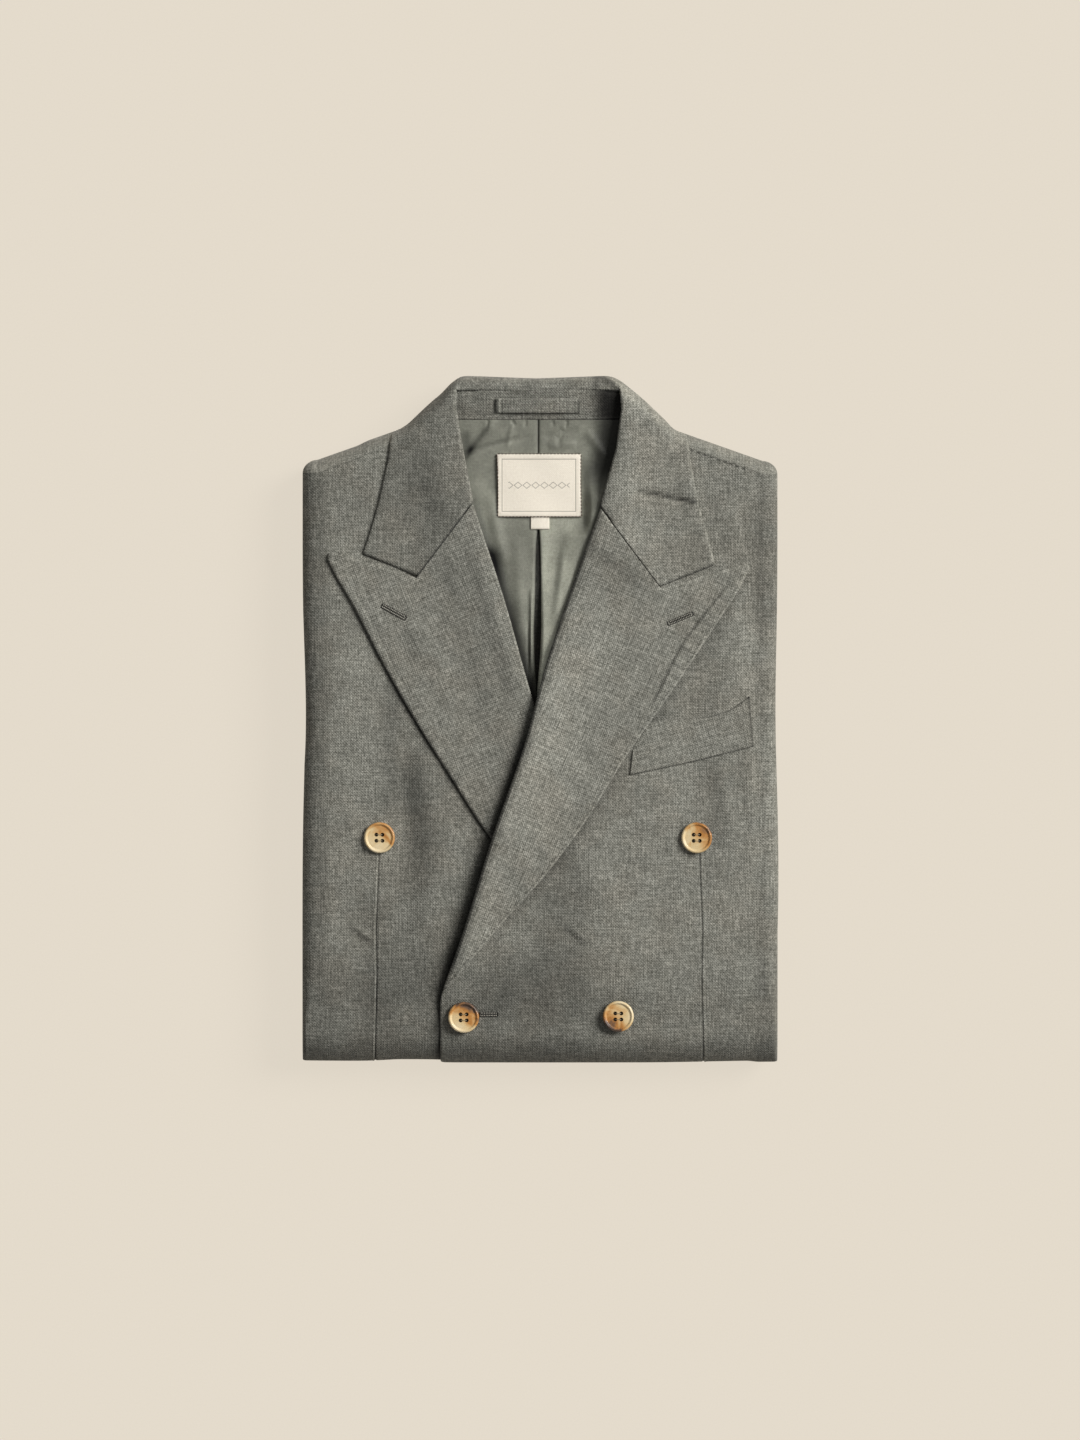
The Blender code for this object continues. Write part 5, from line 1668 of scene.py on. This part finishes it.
def drill(piece):
    """Cuts the four holes with cylinders, and gives the piece's new mesh."""
    cutters = []
    for dx in (-HOLE_AT, HOLE_AT):
        for dy in (-HOLE_AT, HOLE_AT):
            bpy.ops.mesh.primitive_cylinder_add(vertices=24, radius=HOLE_RADIUS * 0.001, depth=0.012,
                                                location=(dx * 0.001, dy * 0.001, 0.002))
            cutter = bpy.context.object
            cut = piece.modifiers.new("hole", "BOOLEAN")
            cut.operation = "DIFFERENCE"
            cut.object = cutter
            cut.solver = "EXACT"
            cutters.append(cutter)
    bpy.context.view_layer.update()
    graph = bpy.context.evaluated_depsgraph_get()
    drilled = bpy.data.meshes.new_from_object(piece.evaluated_get(graph), depsgraph=graph)
    piece.modifiers.clear()
    piece.data = drilled
    for cutter in cutters:
        bpy.data.objects.remove(cutter, do_unlink=True)
    return drilled


def sewn_on(name, x, y, base):
    """Two bowed strands of thread across a button's face, and a shank of painted shadow in each hole."""
    strands = []
    shanks = []
    for side in (-1, 1):
        run = np.linspace(-THREAD_REACH, THREAD_REACH, 13)
        rise = THREAD_RISE + THREAD_BOW * np.sqrt(np.clip(1 - (run / BOW_REACH) ** 2, 0, 1))
        path = np.stack([x + run, y + side * HOLE_AT + 0 * run, base + rise], -1)
        strands.append(closed_tube(path, THREAD_RADIUS))
        post = np.linspace(-0.2, SHANK_TOP, 6)
        for hole in (-HOLE_AT, HOLE_AT):
            path = np.stack([x + hole + 0.01 * post, y + side * HOLE_AT + 0 * post, base + post], -1)
            shanks.append(closed_tube(path, SHANK_RADIUS, 12))
    small_piece(name + "_thread", strands, sewing)
    small_piece(name + "_shank", shanks, shank_shadow_material)


def button(name, node, x, y, lean):
    """A drilled button set down on the cloth at x, y. Its amber is each point's place along the
    lean's first two numbers, over the button's radius, plus the third."""
    piece = turned_button(name)
    drilled = drill(piece)
    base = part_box(node)[0][2] * 1000.0
    spots = np.empty(len(drilled.vertices) * 3, np.float32)
    drilled.vertices.foreach_get("co", spots)
    spots = spots.reshape(-1, 3)
    amber = (spots[:, 0] * lean[0] + spots[:, 1] * lean[1]) / AMBER_REACH + lean[2]
    held = drilled.attributes.new("tone", "FLOAT", "POINT")
    held.data.foreach_set("value", amber.astype(np.float32))
    spots = spots + np.array([x, y + CENTRE_Y, base]) * 0.001
    drilled.vertices.foreach_set("co", spots.astype(np.float32).ravel())
    drilled.shade_smooth()
    drilled.set_sharp_from_angle(angle=math.radians(50))
    drilled.materials.clear()
    drilled.materials.append(horn)
    drilled.update()
    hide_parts(node)
    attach(piece, "root")
    sewn_on(name, x, y, base)


for name, node, x, y, lean in (
    ("upper_right_button", "button_upper_right", -105.6, -79.2, (0.36, 0.40, 0.06)),
    ("upper_left_button", "button_upper_left", 103.0, -79.2, (0.56, 0.34, 0.26)),
    ("lower_right_button", "button_lower_right", -50.2, -197.3, (0.52, 0.84, 0.30)),
    ("lower_left_button", "button_lower_left", 51.5, -196.7, (-0.58, -0.74, 0.38)),
):
    button(name, node, x, y, lean)


# ---------------------------------------------------------------------------------------------
# Floor, light and camera
# A pale warm sheet of paper under it, one soft key light from the upper right, and a little even
# light all round. The camera looks straight down through a long lens.
# ---------------------------------------------------------------------------------------------

def floor_material():
    """Warm pale paper. To the eye and in reflections nearly all of it is its own plain colour, so
    that only a trace of the garment's shadow shows."""
    finish, t, shader = new_finish("paper")
    links = finish.node_tree.links
    shader.inputs["Roughness"].default_value = 0.95
    shader.inputs["Specular IOR Level"].default_value = 0.0
    grain = t.noise(t.new("TexCoord").outputs["Object"], 900.0, 2.0)
    colour = t.mix(t.span(grain, 0.3, 0.7), shade(227, 218, 203), shade(229, 220, 205))
    links.new(colour, shader.inputs["Base Color"])
    glow = t.new("Emission", {}, Color=colour, Strength=1.0).outputs[0]
    path = t.new("LightPath").outputs
    seen = t.math("MAXIMUM", path["Is Camera Ray"], path["Is Glossy Ray"])
    plain = t.math("MULTIPLY", seen, 0.92)
    mixed = t.new("MixShader", {}, i0=plain, i1=shader.outputs[0], i2=glow).outputs[0]
    links.new(mixed, finish.node_tree.nodes["Material Output"].inputs["Surface"])
    return finish


bpy.ops.mesh.primitive_plane_add(size=6.0, location=(0.0, 0.0, -0.0002))
floor = bpy.context.object
floor.name = "floor"
floor.data.materials.append(floor_material())

world = bpy.data.worlds.new("studio")
bpy.context.scene.world = world
world.use_nodes = True
world.node_tree.nodes["Background"].inputs["Color"].default_value = (1.0, 0.99, 0.975, 1.0)
world.node_tree.nodes["Background"].inputs["Strength"].default_value = 0.22

key = bpy.data.lights.new("key", "SUN")
key.energy = 3.95
key.angle = math.radians(30.0)
key.color = (1.0, 0.985, 0.96)
key_light = bpy.data.objects.new("key", key)
key_light.rotation_euler = (0.0, math.radians(52.0), math.radians(28.0))
bpy.context.scene.collection.objects.link(key_light)

CAMERA_HEIGHT = 6.0
GARMENT_TOP = 0.04
FIELD_HEIGHT = 0.9504       # what such a view shows of the garment's level, top to bottom
DRAWN_IN = 1.003            # and how much closer it is drawn in
SENSOR = 24.0

camera_data = bpy.data.cameras.new("camera")
camera_data.sensor_fit = "VERTICAL"
camera_data.sensor_height = SENSOR
camera_data.lens = SENSOR * (CAMERA_HEIGHT - GARMENT_TOP) / FIELD_HEIGHT * DRAWN_IN
camera = bpy.data.objects.new("camera", camera_data)
camera.location = (0.0, -0.00022, CAMERA_HEIGHT)
bpy.context.scene.collection.objects.link(camera)
bpy.context.scene.camera = camera
bpy.context.scene.view_settings.view_transform = "Standard"
